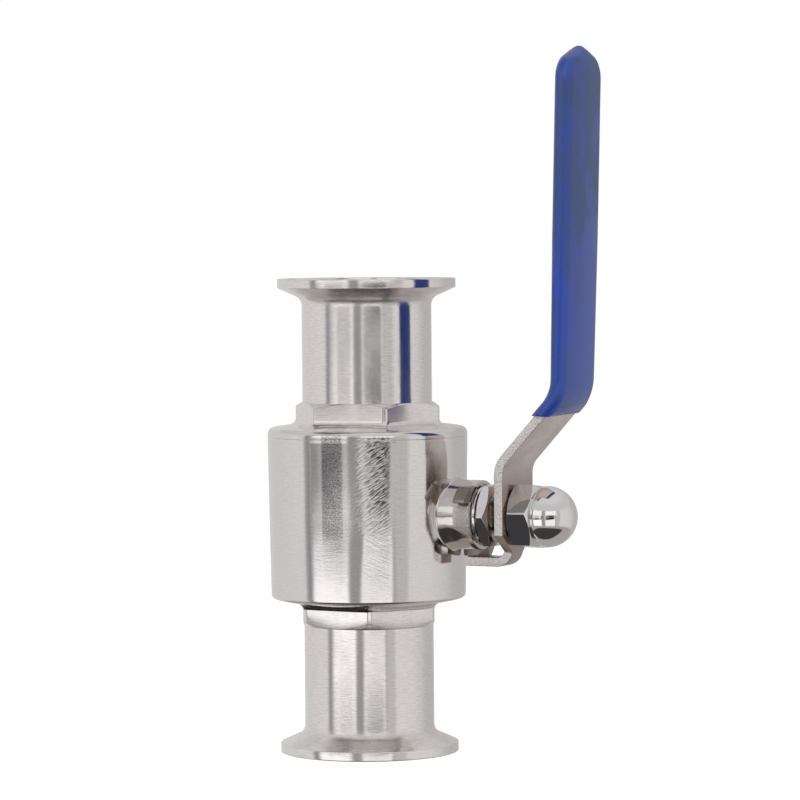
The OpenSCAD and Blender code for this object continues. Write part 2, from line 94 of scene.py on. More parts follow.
@dataclass
class Shell:
    """Closed skin of a solid.

    Args:
        points: Points in millimetres, one row each.
        quads: Four point numbers a face.
        triangles: Three point numbers a face.
        quad_uv: Two map coordinates for each corner of each quad.
        slot: Number of the material slot.
    """

    points: np.ndarray
    quads: np.ndarray
    triangles: np.ndarray
    quad_uv: np.ndarray
    slot: int = 0

    def volume(self) -> float:
        """Signed volume: the sum of the tetrahedra from the origin to each triangle."""
        a, b, c, d = (self.points[self.quads[:, k]] for k in range(4))
        total = np.einsum("ij,ij->i", a, np.cross(b, c)).sum()
        total += np.einsum("ij,ij->i", a, np.cross(c, d)).sum()
        if len(self.triangles):
            e, f, g = (self.points[self.triangles[:, k]] for k in range(3))
            total += np.einsum("ij,ij->i", e, np.cross(f, g)).sum()
        return float(total) / 6.0

    def outward(self) -> "Shell":
        """Turns the faces round if they point inwards, and returns the shell."""
        if self.volume() < 0:
            self.quads = self.quads[:, ::-1]
            self.quad_uv = self.quad_uv[:, ::-1]
            self.triangles = self.triangles[:, ::-1]
        return self


def skin(rows: np.ndarray, loop: bool = False, slot: int = 0) -> Shell:
    """Closes a skin over rings of points.

    Point j of ring i is rows[i, j], and each ring closes on itself. The rings join their
    neighbours with quads. With loop the last ring joins the first one, and otherwise a fan
    to the ring's middle closes each end.

    Args:
        rows: Array of ring, point and coordinate.
        loop: Whether the last ring joins the first.
        slot: Number of the material slot.

    Returns:
        The shell, with its faces outwards.
    """
    count, around = rows.shape[:2]
    spans = count if loop else count - 1
    i, j = np.meshgrid(np.arange(spans), np.arange(around), indexing="ij")
    k = (j + 1) % around
    n = (i + 1) % count
    quads = np.stack([i * around + j, i * around + k, n * around + k, n * around + j], -1)
    u = np.stack([j, j + 1, j + 1, j], -1) / around
    v = np.stack([i, i, i + 1, i + 1], -1) / spans
    points = rows.reshape(-1, 3)
    triangles = np.zeros((0, 3), int)
    if not loop:
        middles = np.stack([rows[0].mean(0), rows[-1].mean(0)])
        points = np.concatenate([points, middles])
        a = np.arange(around)
        b = (a + 1) % around
        base = (count - 1) * around
        first = np.stack([b, a, np.full(around, len(points) - 2)], -1)
        last = np.stack([base + a, base + b, np.full(around, len(points) - 1)], -1)
        triangles = np.concatenate([first, last])
    quad_uv = np.stack([u, v], -1).reshape(-1, 4, 2)
    return Shell(points, quads.reshape(-1, 4), triangles, quad_uv, slot).outward()


def arc(centre: tuple[float, float], radius: float, start: float, stop: float, count: int) -> np.ndarray:
    """Points on an arc: the centre plus radius times (cos a, sin a), for a from start to stop degrees."""
    a = np.radians(np.linspace(start, stop, count))
    return np.array(centre) + radius * np.stack([np.cos(a), np.sin(a)], -1)


def rounded(corners: list[tuple[float, float, float]], steps: int = 6, closed: bool = True) -> np.ndarray:
    """Line through corners, each with its own radius.

    A corner with the radius r is left at r * tan(turn / 2) from it on both sides, and an arc
    of steps + 1 points joins the two places.

    Args:
        corners: Two coordinates and the radius of each corner.
        steps: Pieces of an arc.
        closed: Whether the line comes back to its start.

    Returns:
        Array of the line's points.
    """
    c = np.array(corners, float)
    out = []
    for i in range(len(c)):
        p, r = c[i, :2], c[i, 2]
        if r <= 0 or (not closed and i in (0, len(c) - 1)):
            out.append(p[None])
            continue
        before = c[i - 1, :2] - p
        after = c[(i + 1) % len(c), :2] - p
        before, after = before / np.linalg.norm(before), after / np.linalg.norm(after)
        half = math.acos(float(np.clip(before @ after, -1, 1))) / 2
        middle = (before + after) / np.linalg.norm(before + after)
        centre = p + middle * r / math.sin(half)
        a = p + before * r / math.tan(half) - centre
        b = p + after * r / math.tan(half) - centre
        turn = math.atan2(a[0] * b[1] - a[1] * b[0], float(a @ b))
        t = np.linspace(0, turn, steps + 1)
        cos, sin = np.cos(t), np.sin(t)
        out.append(centre + np.stack([a[0] * cos - a[1] * sin, a[0] * sin + a[1] * cos], -1))
    return np.concatenate(out)


def stacked(rows: list[tuple[object, object]], around: int) -> np.ndarray:
    """Profile of one radius and height a ring, each a number or an array over the angle."""
    return np.stack([np.stack([np.broadcast_to(value, around) for value in row], -1) for row in rows])


def carry_round(profile: np.ndarray, axis: Axis, around: int = 256) -> np.ndarray:
    """Rings of a profile about an axis.

    Point (r, h) of the profile goes to (r cos a, r sin a, h) about the pipe, and to
    (h, r cos a, r sin a + the stem's height) about the stem.

    Args:
        profile: Array of radius and height. Each may also be an array over the angle.
        axis: Axis to turn about.
        around: Points in a ring.

    Returns:
        Array of ring, point and coordinate.
    """
    a = np.radians(np.arange(around) * 360.0 / around)
    if profile.ndim == 2:
        profile = np.repeat(profile[:, None], around, 1)
    r, h = profile[..., 0], profile[..., 1]
    if axis is Axis.PIPE:
        return np.stack([r * np.cos(a), r * np.sin(a), h], -1)
    return np.stack([h, r * np.cos(a), STEM_Z + r * np.sin(a)], -1)


def turned(profile: np.ndarray, axis: Axis, around: int = 256, slot: int = 0) -> Shell:
    """Ring-shaped solid whose closed profile is carried round an axis."""
    return skin(carry_round(profile, axis, around), loop=True, slot=slot)


def hexagon_radius(flats: float, around: int, edge: float) -> np.ndarray:
    """Radius of a hexagon over the angle: (flats / 2) / cos(angle from the nearest flat's middle).

    Args:
        flats: Distance across the flats.
        around: Points in a ring, a multiple of six.
        edge: How much the corner is rubbed down.

    Returns:
        One radius for each point of a ring that starts at a corner.
    """
    a = np.arange(around) * 360.0 / around
    off = (a + 30.0) % 60.0 - 30.0
    flat = 30.0 - np.abs(off)
    r = flats / 2 / np.cos(np.radians(flat))
    return np.minimum(r, flats / 2 / math.cos(math.radians(30)) - edge)


def spun(rows: np.ndarray, axis: Axis, degrees: float) -> np.ndarray:
    """Rings turned about an axis by an angle."""
    c, s = math.cos(math.radians(degrees)), math.sin(math.radians(degrees))
    x, y, z = rows[..., 0], rows[..., 1], rows[..., 2]
    if axis is Axis.PIPE:
        return np.stack([x * c - y * s, x * s + y * c, z], -1)
    z = z - STEM_Z
    return np.stack([x, y * c - z * s, y * s + z * c + STEM_Z], -1)


def make_mesh(name: str, shells: list[Shell], sharp: float) -> bpy.types.Mesh:
    """Mesh of one or more shells, in metres, smooth but for edges sharper than an angle.

    Args:
        name: Name of the mesh.
        shells: Closed skins, in millimetres.
        sharp: Angle in degrees past which an edge stays sharp.

    Returns:
        The mesh, with the map that says which way the surface runs.
    """
    points = np.concatenate([s.points for s in shells]) * MM
    starts = np.cumsum([0] + [len(s.points) for s in shells[:-1]])
    quads = np.concatenate([s.quads + n for s, n in zip(shells, starts)])
    triangles = np.concatenate([s.triangles + n for s, n in zip(shells, starts)])
    mesh = bpy.data.meshes.new(name)
    mesh.from_pydata(points.tolist(), [], quads.tolist() + triangles.tolist())
    uv = np.zeros((len(mesh.loops), 2), np.float32)
    uv[: quads.size] = np.concatenate([s.quad_uv.reshape(-1, 2) for s in shells])
    layer = mesh.uv_layers.new(name=LAY_MAP)
    layer.data.foreach_set("uv", uv.ravel())
    counts = [len(s.quads) for s in shells] + [len(s.triangles) for s in shells]
    slots = np.repeat([s.slot for s in shells] * 2, counts).astype(np.int32)
    mesh.polygons.foreach_set("material_index", slots)
    smooth(mesh, sharp)
    return mesh


def smooth(mesh: bpy.types.Mesh, sharp: float) -> None:
    """Makes a mesh smooth but for edges sharper than an angle in degrees."""
    mesh.polygons.foreach_set("use_smooth", np.ones(len(mesh.polygons), bool))
    mesh.set_sharp_from_angle(angle=math.radians(sharp))
    mesh.update()


def make_piece(
    name: str, shells: list[Shell], materials: list[bpy.types.Material], body: str, node: str,
    sharp: float = 32.0, bevel: float = 0.0, cutter: Shell | None = None,
) -> bpy.types.Object:
    """Object that stands for a CAD node and rides its body.

    Args:
        name: Name of the piece.
        shells: Closed skins, in millimetres.
        materials: Materials, in the order of the shells' slots.
        body: CAD body that the piece rides.
        node: CAD node that it stands for.
        sharp: Angle in degrees past which an edge stays sharp.
        bevel: Width in millimetres of the edges' bevel, or 0 for none.
        cutter: Solid that is taken away, if any.

    Returns:
        The object.
    """
    piece = bpy.data.objects.new(name, make_mesh(name, shells, sharp))
    bpy.context.scene.collection.objects.link(piece)
    for material in materials:
        piece.data.materials.append(material)
    if cutter is not None:
        cut_away(piece, cutter, sharp)
    if bevel > 0:
        edge = piece.modifiers.new("soft edges", "BEVEL")
        edge.width = bevel * MM
        edge.segments = 3
        edge.limit_method = "ANGLE"
        edge.angle_limit = math.radians(24)
        edge.harden_normals = True
    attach(piece, body)
    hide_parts(node)
    LOG.info("%s: %d faces, rides %s", name, len(piece.data.polygons), body)
    return piece


def cut_away(piece: bpy.types.Object, cutter: Shell, sharp: float) -> None:
    """Takes a solid away from a piece for good."""
    tool = bpy.data.objects.new("cutter", make_mesh("cutter", [cutter], 30.0))
    bpy.context.scene.collection.objects.link(tool)
    cut = piece.modifiers.new("cut", "BOOLEAN")
    cut.operation = "DIFFERENCE"
    cut.solver = "EXACT"
    cut.object = tool
    done = bpy.data.meshes.new_from_object(piece.evaluated_get(bpy.context.evaluated_depsgraph_get()))
    piece.modifiers.clear()
    piece.data = done
    smooth(done, sharp)
    bpy.data.objects.remove(tool)


def face_numbers(mesh: bpy.types.Mesh, key: str, width: int) -> np.ndarray:
    """Array of a float property of every face, with its width in numbers."""
    out = np.zeros(len(mesh.polygons) * width)
    mesh.polygons.foreach_get(key, out)
    return out.reshape(-1, width)


class NodeSheet:
    """Short calls for building one node tree."""

    def __init__(self, tree: bpy.types.NodeTree) -> None:
        """Starts with an empty tree."""
        self.tree = tree
        tree.nodes.clear()

    def node(self, kind: str, **settings: object) -> bpy.types.Node:
        """Adds a node and sets its properties."""
        made = self.tree.nodes.new(kind)
        for key, value in settings.items():
            setattr(made, key, value)
        return made

    def feed(self, socket: Socket, value: object) -> None:
        """Links a socket to an output, or sets it to a number or colour."""
        if isinstance(value, Socket):
            self.tree.links.new(value, socket)
        else:
            socket.default_value = value

    def fed(self, kind: str, *values: object, **settings: object) -> bpy.types.Node:
        """Adds a node with its properties, and feeds its inputs in their order."""
        made = self.node(kind, **settings)
        for socket, value in zip(made.inputs, values):
            self.feed(socket, value)
        return made

    def math(self, operation: str, *values: object) -> Socket:
        """Result of a Math node."""
        return self.fed("ShaderNodeMath", *values, operation=operation).outputs[0]

    def chain(self, operation: str, values: tuple[object, ...]) -> Socket:
        """Result of an operation on the first two values, then on that result and the next value."""
        total = values[0]
        for value in values[1:]:
            total = self.math(operation, total, value)
        return total

    def sum(self, *values: object) -> Socket:
        """Sum of numbers."""
        return self.chain("ADD", values)

    def times(self, *values: object) -> Socket:
        """Product of numbers."""
        return self.chain("MULTIPLY", values)

    def less(self, a: object, b: object) -> Socket:
        """Number a less number b."""
        return self.math("SUBTRACT", a, b)

    def length(self, *values: object) -> Socket:
        """Square root of the sum of the squares."""
        return self.math("SQRT", self.sum(*(self.times(value, value) for value in values)))

    def vector(self, operation: str, *values: object) -> bpy.types.Node:
        """A Vector Math node."""
        return self.fed("ShaderNodeVectorMath", *values, operation=operation)

    def step(self, value: object, low: float, high: float, start: float = 0.0, end: float = 1.0) -> Socket:
        """Smooth step from start to end while the value goes from low to high."""
        return self.fed(
            "ShaderNodeMapRange", value, low, high, start, end, interpolation_type="SMOOTHSTEP").outputs[0]

    def band(self, value: object, low: float, high: float, soft: float) -> Socket:
        """One between low and high and nothing outside, with soft ends."""
        rise = self.step(value, low - soft, low + soft)
        return self.times(rise, self.step(value, high - soft, high + soft, 1.0, 0.0))

    def mix(self, factor: object, a: object, b: object) -> Socket:
        """Colour a where the factor is 0 and b where it is 1."""
        made = self.node("ShaderNodeMix", data_type="RGBA")
        for number, value in zip((0, 6, 7), (factor, a, b)):
            self.feed(made.inputs[number], value)
        return made.outputs[2]

    def ramp(self, angle: object, stops: Stops) -> Socket:
        """Number read off straight lines through the stops, for an angle from -180 to 180 degrees."""
        most = max(number for _, number in stops)
        made = self.node("ShaderNodeValToRGB")
        self.feed(made.inputs[0], self.math("DIVIDE", self.less(angle, -180.0), 360.0))
        for _ in stops[2:]:
            made.color_ramp.elements.new(0.5)
        for element, (place, number) in zip(made.color_ramp.elements, stops):
            element.position = (place + 180.0) / 360.0
            element.color = rgba((number / most,) * 3)
        return self.times(made.outputs[0], most)

    def noise(self, where: object, scale: float, detail: float = 3.0, rough: float = 0.5) -> Socket:
        """Noise from 0 to 1 at the given place."""
        made = self.node("ShaderNodeTexNoise")
        for key, value in (("Vector", where), ("Scale", scale), ("Detail", detail), ("Roughness", rough)):
            self.feed(made.inputs[key], value)
        return made.outputs[0]

    def stretched(self, where: object, scale: tuple[float, float, float]) -> Socket:
        """A place scaled along its axes, to stretch a pattern."""
        made = self.fed("ShaderNodeMapping", where)
        made.inputs["Scale"].default_value = scale
        return made.outputs[0]

    def slanted(self, where: object, degrees: float, length: float, pitch: float) -> Socket:
        """A place in which strokes of a length and a pitch run at an angle to the first axis."""
        made = self.fed("ShaderNodeMapping", where, vector_type="TEXTURE")
        made.inputs["Rotation"].default_value = (0.0, 0.0, math.radians(degrees))
        made.inputs["Scale"].default_value = (length, pitch, 1.0)
        return made.outputs[0]

    def joined(self, *values: object) -> Socket:
        """A place made of up to three numbers."""
        return self.fed("ShaderNodeCombineXYZ", *values).outputs[0]

    def split(self, where: object) -> tuple[Socket, ...]:
        """The three numbers of a place."""
        return tuple(self.fed("ShaderNodeSeparateXYZ", where).outputs)

    def bell(self, value: object, middle: float, width: float) -> Socket:
        """Bell curve exp(-((value - middle) / width)^2)."""
        off = self.math("DIVIDE", self.less(value, middle), width)
        return self.math("EXPONENT", self.times(off, off, -1.0))

    def place(self) -> Socket:
        """Place in the object's own coordinates, in metres."""
        return self.node("ShaderNodeTexCoord").outputs["Object"]

    def finish(self, shown: Socket, kind: str = "ShaderNodeOutputMaterial") -> None:
        """Feeds a shader to the tree's output."""
        self.fed(kind, shown)

    def surface(self, base: object, rough: object, height: object, **settings: float) -> bpy.types.Node:
        """Adds the piece's shader and feeds it to the output.

        Args:
            base: Base colour.
            rough: Roughness.
            height: Height of the bumps in metres.
            settings: The shader's other numbers, with underscores for spaces in their names.

        Returns:
            The shader.
        """
        bump = self.node("ShaderNodeBump")
        bump.inputs["Distance"].default_value = 1.0
        self.feed(bump.inputs["Height"], height)
        shader = self.node("ShaderNodeBsdfPrincipled")
        for key, value in settings.items():
            shader.inputs[key.replace("_", " ")].default_value = value
        for key, value in (("Base Color", base), ("Roughness", rough), ("Normal", bump.outputs[0])):
            self.feed(shader.inputs[key], value)
        self.finish(shader.outputs[0])
        return shader


def rgba(colour: Colour) -> tuple[float, float, float, float]:
    """Colour with full cover."""
    return (*colour, 1.0)


def fresh(name: str) -> tuple[bpy.types.Material, NodeSheet]:
    """New material and the sheet of its nodes."""
    made = bpy.data.materials.new(name)
    made.use_nodes = True
    return made, NodeSheet(made.node_tree)


@dataclass(frozen=True)
class Steel:
    """Stainless steel with a brushed or turned lay.

    Args:
        name: Name of the material.
        lay: Direction of the lay.
        colour: Reflected colour, linear.
        roughness: Blur of the reflections.
        stretch: How much further the blur reaches across the lay than along it.
        grain_pitch: Distance between grains of the lay, in millimetres.
        grain_depth: Depth of the grains, in micrometres.
        wave_pitch: Distance between hand polished waves, in millimetres.
        wave_depth: Depth of those waves, in micrometres.
        soil: How much darker the duller patches are.
    """

    name: str
    lay: Lay
    colour: Colour
    roughness: float
    stretch: float = 0.0
    grain_pitch: float = 0.12
    grain_depth: float = 0.3
    wave_pitch: float = 9.0
    wave_depth: float = 0.0
    soil: float = 0.1

    def place(self, sheet: NodeSheet) -> Socket:
        """Coordinates in millimetres whose third one counts the lay's grains.

        Around an axis the third coordinate is height plus distance from the axis, so that the
        grains are rings on a cylinder and on its faces.
        """
        mm = sheet.vector("SCALE", sheet.place())
        mm.inputs["Scale"].default_value = 1 / MM
        x, y, z = sheet.split(mm.outputs[0])
        if self.lay is Lay.AROUND_PIPE:
            return sheet.joined(x, y, sheet.sum(z, sheet.length(x, y)))
        if self.lay is Lay.AROUND_STEM:
            return sheet.joined(y, z, sheet.sum(x, sheet.length(sheet.less(z, STEM_Z), y)))
        if self.lay is Lay.ALONG_LEVER:
            return sheet.joined(x, z, y)
        return sheet.joined(y, x, z)

    def extra(self, sheet: NodeSheet, place: object, height: object, rough: object) -> tuple[object, object]:
        """Marks of one finish only: by default none."""
        return height, rough

    def tone(self, sheet: NodeSheet, place: object, patches: object) -> object:
        """Share of the darker colour at each place."""
        return patches

    def stained(self, sheet: NodeSheet, place: object, base: object) -> object:
        """Colour with the stains of one finish only: by default none."""
        return base

    def material(self) -> bpy.types.Material:
        """Builds the material."""
        made, sheet = fresh(self.name)
        place = self.place(sheet)
        slow = 0.02 / self.grain_pitch
        grain = sheet.noise(sheet.stretched(place, (slow, slow, 1 / self.grain_pitch)), 1.0, 3.0, 0.6)
        waves = sheet.noise(sheet.stretched(place, (1, 1, 0.6)), 1 / self.wave_pitch, 2.0, 0.4)
        patches = sheet.noise(sheet.stretched(place, (1, 1, 0.8)), 0.11, 4.0, 0.6)
        height = sheet.sum(
            sheet.times(grain, self.grain_depth * MICRON), sheet.times(waves, self.wave_depth * MICRON))
        rough = sheet.step(patches, 0.35, 0.7, self.roughness * 0.85, self.roughness * 1.3)
        height, rough = self.extra(sheet, place, height, rough)
        darker = tuple(c * (1 - self.soil) for c in self.colour)
        base = sheet.mix(self.tone(sheet, place, patches), rgba(self.colour), rgba(darker))
        shader = sheet.surface(self.stained(sheet, place, base), rough, height, Metallic=1.0)
        if self.stretch > 0:
            shader.inputs["Anisotropic"].default_value = self.stretch
            shader.inputs["Anisotropic Rotation"].default_value = 0.25
            run = sheet.node("ShaderNodeTangent", direction_type="UV_MAP", uv_map=LAY_MAP)
            sheet.feed(shader.inputs["Tangent"], run.outputs[0])
        return made


@dataclass(frozen=True)
class TubeSteel(Steel):
    """Tube turned with a fine feed, duller in the hollows behind the clamp rims.

    Args:
        tube_r: Radius of the tube in millimetres.
        streak_depth: Depth of the streaks that the belt left round the tube, in micrometres.
        dull: Roughness added in the hollows.
        hollows: Lowest and highest place of each hollow, in millimetres.
        root: Lowest and highest place of the painted shade in the cove at the foot of the lower hexagon, in
            millimetres.
        cove_shade_turn: Angles between which that painted shade lies, over one flat.
        cove_shade_colour: Colour of the painted shade.
    """

    tube_r: float = 18.35
    streak_depth: float = 14.0
    dull: float = 0.12
    hollows: tuple[tuple[float, float], ...] = ((3.2, 7.6), (126.6, 131.0))
    root: tuple[float, float] = (41.25, 42.6)
    cove_shade_turn: tuple[float, float] = (-123.0, -62.9)
    cove_shade_colour: Colour = (0.1, 0.083, 0.074)

    def unrolled(self, sheet: NodeSheet, place: object) -> tuple[object, object, object]:
        """Angle round the pipe in degrees, height, and both as a flat place in millimetres."""
        x, y, across = sheet.split(place)
        z = sheet.less(across, sheet.length(x, y))
        turn = sheet.math("ARCTAN2", y, x)
        return sheet.times(turn, DEGREES), z, sheet.joined(sheet.times(turn, self.tube_r), z)

    def tone(self, sheet: NodeSheet, place: object, patches: object) -> object:
        """Mixes the slow patches with fine lines round the tube."""
        flat = self.unrolled(sheet, place)[2]
        lines = sheet.step(sheet.noise(sheet.stretched(flat, (0.35, 4.4, 1.0)), 1.0, 3.0, 0.7), 0.38, 0.66)
        return sheet.sum(sheet.times(patches, 0.4), sheet.times(lines, 0.6))

    def stained(self, sheet: NodeSheet, place: object, base: object) -> object:
        """Paints shade as a dark band in the cove at the root, over one flat of the lower hexagon."""
        turn, z, _ = self.unrolled(sheet, place)
        # painted shade: a dark band in the cove between the drum's foot and the lower hexagon
        root = sheet.times(sheet.band(z, *self.root, 0.12), sheet.band(turn, *self.cove_shade_turn, 0.8))
        return sheet.mix(root, base, rgba(self.cove_shade_colour))

    def extra(self, sheet: NodeSheet, place: object, height: object, rough: object) -> tuple[object, object]:
        """Adds belt streaks round the tube and the dull hollows."""
        _, z, flat = self.unrolled(sheet, place)
        streaks = sheet.noise(sheet.stretched(flat, (0.45, 2.6, 1.0)), 1.0, 3.0, 0.65)
        hollow = sheet.sum(*[sheet.band(z, low, high, 0.8) for low, high in self.hollows])
        height = sheet.sum(height, sheet.times(streaks, self.streak_depth * MICRON))
        return height, sheet.sum(rough, sheet.times(hollow, self.dull))


@dataclass(frozen=True)
class DrumSteel(Steel):
    """Buffed drum, grained round the pipe and hit with a belt on its front.

    Args:
        drum_r: Radius of the drum in millimetres.
        speckle: Depth of the buffed grain in micrometres.
        streak: Depth of the lines round the drum in micrometres.
        stroke: Depth of the belt's slanted strokes in micrometres.
        wipe: Depth of the fine lines below the strokes in micrometres.
        dent: Slope of the shallow dent beside the strokes.
        dent_side: Length round the drum of the dent's middle.
        torn_side: Lengths round the drum between which its skin is torn.
        torn_level: Heights between which its skin is torn.
        torn_colour: Colour in the torn specks.
    """

    drum_r: float = 28.3
    speckle: float = 4.5
    streak: float = 4.0
    stroke: float = 15.0
    wipe: float = 9.0
    dent: float = 0.04
    dent_side: float = -33.4
    torn_side: tuple[float, float] = (-44.3, -38.1)
    torn_level: tuple[float, float] = (62.0, 91.0)
    torn_colour: Colour = (0.36, 0.36, 0.39)

    def unrolled(self, sheet: NodeSheet, place: object) -> tuple[object, object, object]:
        """Length round the drum from +X, height, and both as a flat place, in millimetres."""
        x, y, across = sheet.split(place)
        side = sheet.times(sheet.math("ARCTAN2", y, x), self.drum_r)
        level = sheet.less(across, self.drum_r)
        return side, level, sheet.joined(side, level)

    def stained(self, sheet: NodeSheet, place: object, base: object) -> object:
        """Darkens the specks where the drum's skin is torn."""
        side, level, flat = self.unrolled(sheet, place)
        specks = sheet.step(sheet.noise(sheet.stretched(flat, (2.0, 2.4, 1.0)), 1.0, 3.0, 0.8), 0.42, 0.6)
        torn = (sheet.band(side, *self.torn_side, 0.25), sheet.band(level, *self.torn_level, 1.2))
        return sheet.mix(sheet.times(*torn, specks), base, rgba(self.torn_colour))

    def tone(self, sheet: NodeSheet, place: object, patches: object) -> object:
        """Mixes the slow patches with the buffed grain and fine lines round the drum."""
        flat = self.unrolled(sheet, place)[2]
        grain = sheet.step(sheet.noise(sheet.stretched(flat, (1.3, 2.2, 1.0)), 1.0, 3.0, 0.7), 0.36, 0.66)
        lines = sheet.step(sheet.noise(sheet.stretched(flat, (0.25, 3.2, 1.0)), 1.0, 3.0, 0.7), 0.38, 0.66)
        return sheet.sum(*(sheet.times(part, 0.33) for part in (patches, grain, lines)))

    def extra(self, sheet: NodeSheet, place: object, height: object, rough: object) -> tuple[object, object]:
        """Adds the grain, the lines round the drum, the slanted strokes and the dent.

        The place on the drum is its length round the drum from +X and its height. The dent's
        height is slope * s * exp(-(s / 5.5)^2) * exp(-((z - 68) / 13)^2), with the length s from
        its middle, so that it bends what the drum mirrors sideways.

        Args:
            sheet: Sheet of the material.
            place: Place in millimetres, with height plus radius third.
            height: Height so far.
            rough: Roughness so far.

        Returns:
            Height and roughness with the marks.
        """
        side, level, flat = self.unrolled(sheet, place)
        grain = sheet.noise(sheet.stretched(flat, (1.6, 3.0, 1.0)), 1.0, 2.0, 0.7)
        lines = sheet.noise(sheet.stretched(flat, (0.18, 1.3, 1.0)), 1.0, 3.0, 0.6)
        belt = sheet.times(sheet.band(side, -35.0, -25.0, 1.6), sheet.band(level, 64.0, 92.0, 3.0))
        strokes = sheet.step(sheet.noise(sheet.slanted(flat, 34.0, 3.2, 0.42), 1.0, 2.0, 0.5), 0.42, 0.62)
        rub = sheet.times(sheet.band(side, -34.0, -12.0, 3.0), sheet.band(level, 44.0, 66.0, 5.0))
        wipes = sheet.noise(sheet.slanted(flat, -24.0, 6.0, 0.5), 1.0, 2.0, 0.6)
        off = sheet.less(side, self.dent_side)
        dent = sheet.times(off, sheet.bell(off, 0.0, 5.5), sheet.bell(level, 68.0, 13.0), self.dent * MM)
        height = sheet.sum(
            height, sheet.times(grain, self.speckle * MICRON), sheet.times(lines, self.streak * MICRON),
            sheet.times(belt, strokes, self.stroke * MICRON),
            sheet.times(rub, wipes, self.wipe * MICRON), dent)
        return height, rough


@dataclass(frozen=True)
class BossSteel(Steel):
    """Boss ground by hand: a bright crest that falls towards the mouth, with raw casting above it.

    Args:
        crest_z: Height of the crest at the drum, in millimetres.
        fall: How much lower the crest is at the mouth.
        reach: Places along the stem between which it falls.
        twist: Slope of the ground twist under the crest.
        raw_reach: Places along the stem between which the raw casting sets in.
        raw_z: Heights between which it stays.
        raw_depth: Depth of the raw casting's grains, in micrometres.
        raw_rough: Roughness added on the raw casting.
        pit_depth: Depth of the slow pits all over, in micrometres.
    """

    crest_z: float = 65.8
    fall: float = 3.6
    reach: tuple[float, float] = (27.5, 35.5)
    twist: float = 0.3
    raw_reach: tuple[float, float] = (31.2, 33.0)
    raw_z: tuple[float, float] = (55.0, 71.2)
    raw_depth: float = 600.0
    raw_rough: float = 0.08
    pit_depth: float = 50.0

    def extra(self, sheet: NodeSheet, place: object, height: object, rough: object) -> tuple[object, object]:
        """Adds the ground twist under the crest and the raw casting above it.

        Args:
            sheet: Sheet of the material.
            place: Place in millimetres: across, up, and along the stem plus distance from it.
            height: Height so far.
            rough: Roughness so far.

        Returns:
            Height and roughness with the marks.
        """
        y, z, across = sheet.split(place)
        x = sheet.less(across, sheet.length(y, sheet.less(z, STEM_Z)))
        share = sheet.step(x, *self.reach)
        crest = sheet.less(self.crest_z, sheet.times(share, self.fall))
        above = sheet.less(z, crest)
        twist = sheet.times(share, sheet.math("MINIMUM", above, 0.0), self.twist * MM)
        raw = sheet.times(
            sheet.step(above, 0.2, 0.9), sheet.step(x, *self.raw_reach), sheet.band(z, *self.raw_z, 0.7))
        grains = sheet.noise(place, 1.4, 3.0, 0.7)
        pits = sheet.noise(place, 0.5, 3.0, 0.6)
        height = sheet.sum(
            height, twist, sheet.times(raw, grains, self.raw_depth * MICRON),
            sheet.times(pits, self.pit_depth * MICRON))
        return height, sheet.sum(rough, sheet.times(raw, self.raw_rough))


@dataclass(frozen=True)
class ShearedSteel(Steel):
    """Strip steel whose skin or sheared edge has torn grains.

    Args:
        tear: Distance between torn grains, in millimetres.
        tear_depth: Depth of the grains, in micrometres.
        painted_shade_z: Heights below which the lever's faces are all painted shade and above which they have
            none.
        painted_shade_colour: Colour of that painted shade.
    """

    tear: float = 0.6
    tear_depth: float = 400.0
    painted_shade_z: tuple[float, float] = (73.0, 89.0)
    painted_shade_colour: Colour = (0.42, 0.35, 0.32)

    def stained(self, sheet: NodeSheet, place: object, base: object) -> object:
        """Paints shade on the lever's faces, darker towards the stem."""
        if self.lay is not Lay.ALONG_LEVER:
            return base
        # painted shade: the lever's faces darken by height towards the stem
        scale = sheet.step(sheet.split(place)[1], *self.painted_shade_z, 1.0, 0.0)
        return sheet.mix(scale, base, rgba(self.painted_shade_colour))

    def extra(self, sheet: NodeSheet, place: object, height: object, rough: object) -> tuple[object, object]:
        """Adds the torn grains."""
        torn = sheet.noise(place, 1 / self.tear, 3.0, 0.7)
        return sheet.sum(height, sheet.times(torn, self.tear_depth * MICRON)), rough


@dataclass(frozen=True)
class Vinyl:
    """Dipped glossy vinyl with a faintly uneven skin.

    Args:
        name: Name of the material.
        colour: Colour of the vinyl.
        dull: Colour of the clouds, and of the painted shade on the upper end.
        roughness: Roughness of the clear places.
        painted_dark_top: Heights between which the painted shade of the upper end sets in.
    """

    name: str
    colour: Colour
    dull: Colour
    roughness: float
    painted_dark_top: tuple[float, float] = (135.0, 160.0)

    def material(self) -> bpy.types.Material:
        """Builds the material: a clear gloss over a colour that clouds a little and has painted shade at the
        upper end.
        """
        made, sheet = fresh(self.name)
        place = sheet.place()
        # painted shade: the colour darkens towards the sleeve's upper end
        painted_dark_top = sheet.step(sheet.split(place)[2], *(z * MM for z in self.painted_dark_top), 0.1, 0.75)
        cloud = sheet.noise(sheet.stretched(place, (1, 1, 0.45)), 130.0, 4.0, 0.6)
        # the clouds and the painted shade of the upper end share one mask
        cloud = sheet.sum(sheet.step(cloud, 0.36, 0.64, -0.3, 0.35), painted_dark_top)
        ripple = sheet.noise(sheet.stretched(place, (1, 1, 0.35)), 160.0, 2.0, 0.5)
        fine = sheet.noise(place, 1400.0, 2.0, 0.5)
        sheet.surface(
            sheet.mix(cloud, rgba(self.colour), rgba(self.dull)),
            sheet.step(cloud, 0.3, 0.7, self.roughness, self.roughness * 1.5),
            sheet.sum(sheet.times(ripple, 60 * MICRON), sheet.times(fine, 1.2 * MICRON)),
            Coat_Weight=0.25, Coat_Roughness=0.06)
        return made


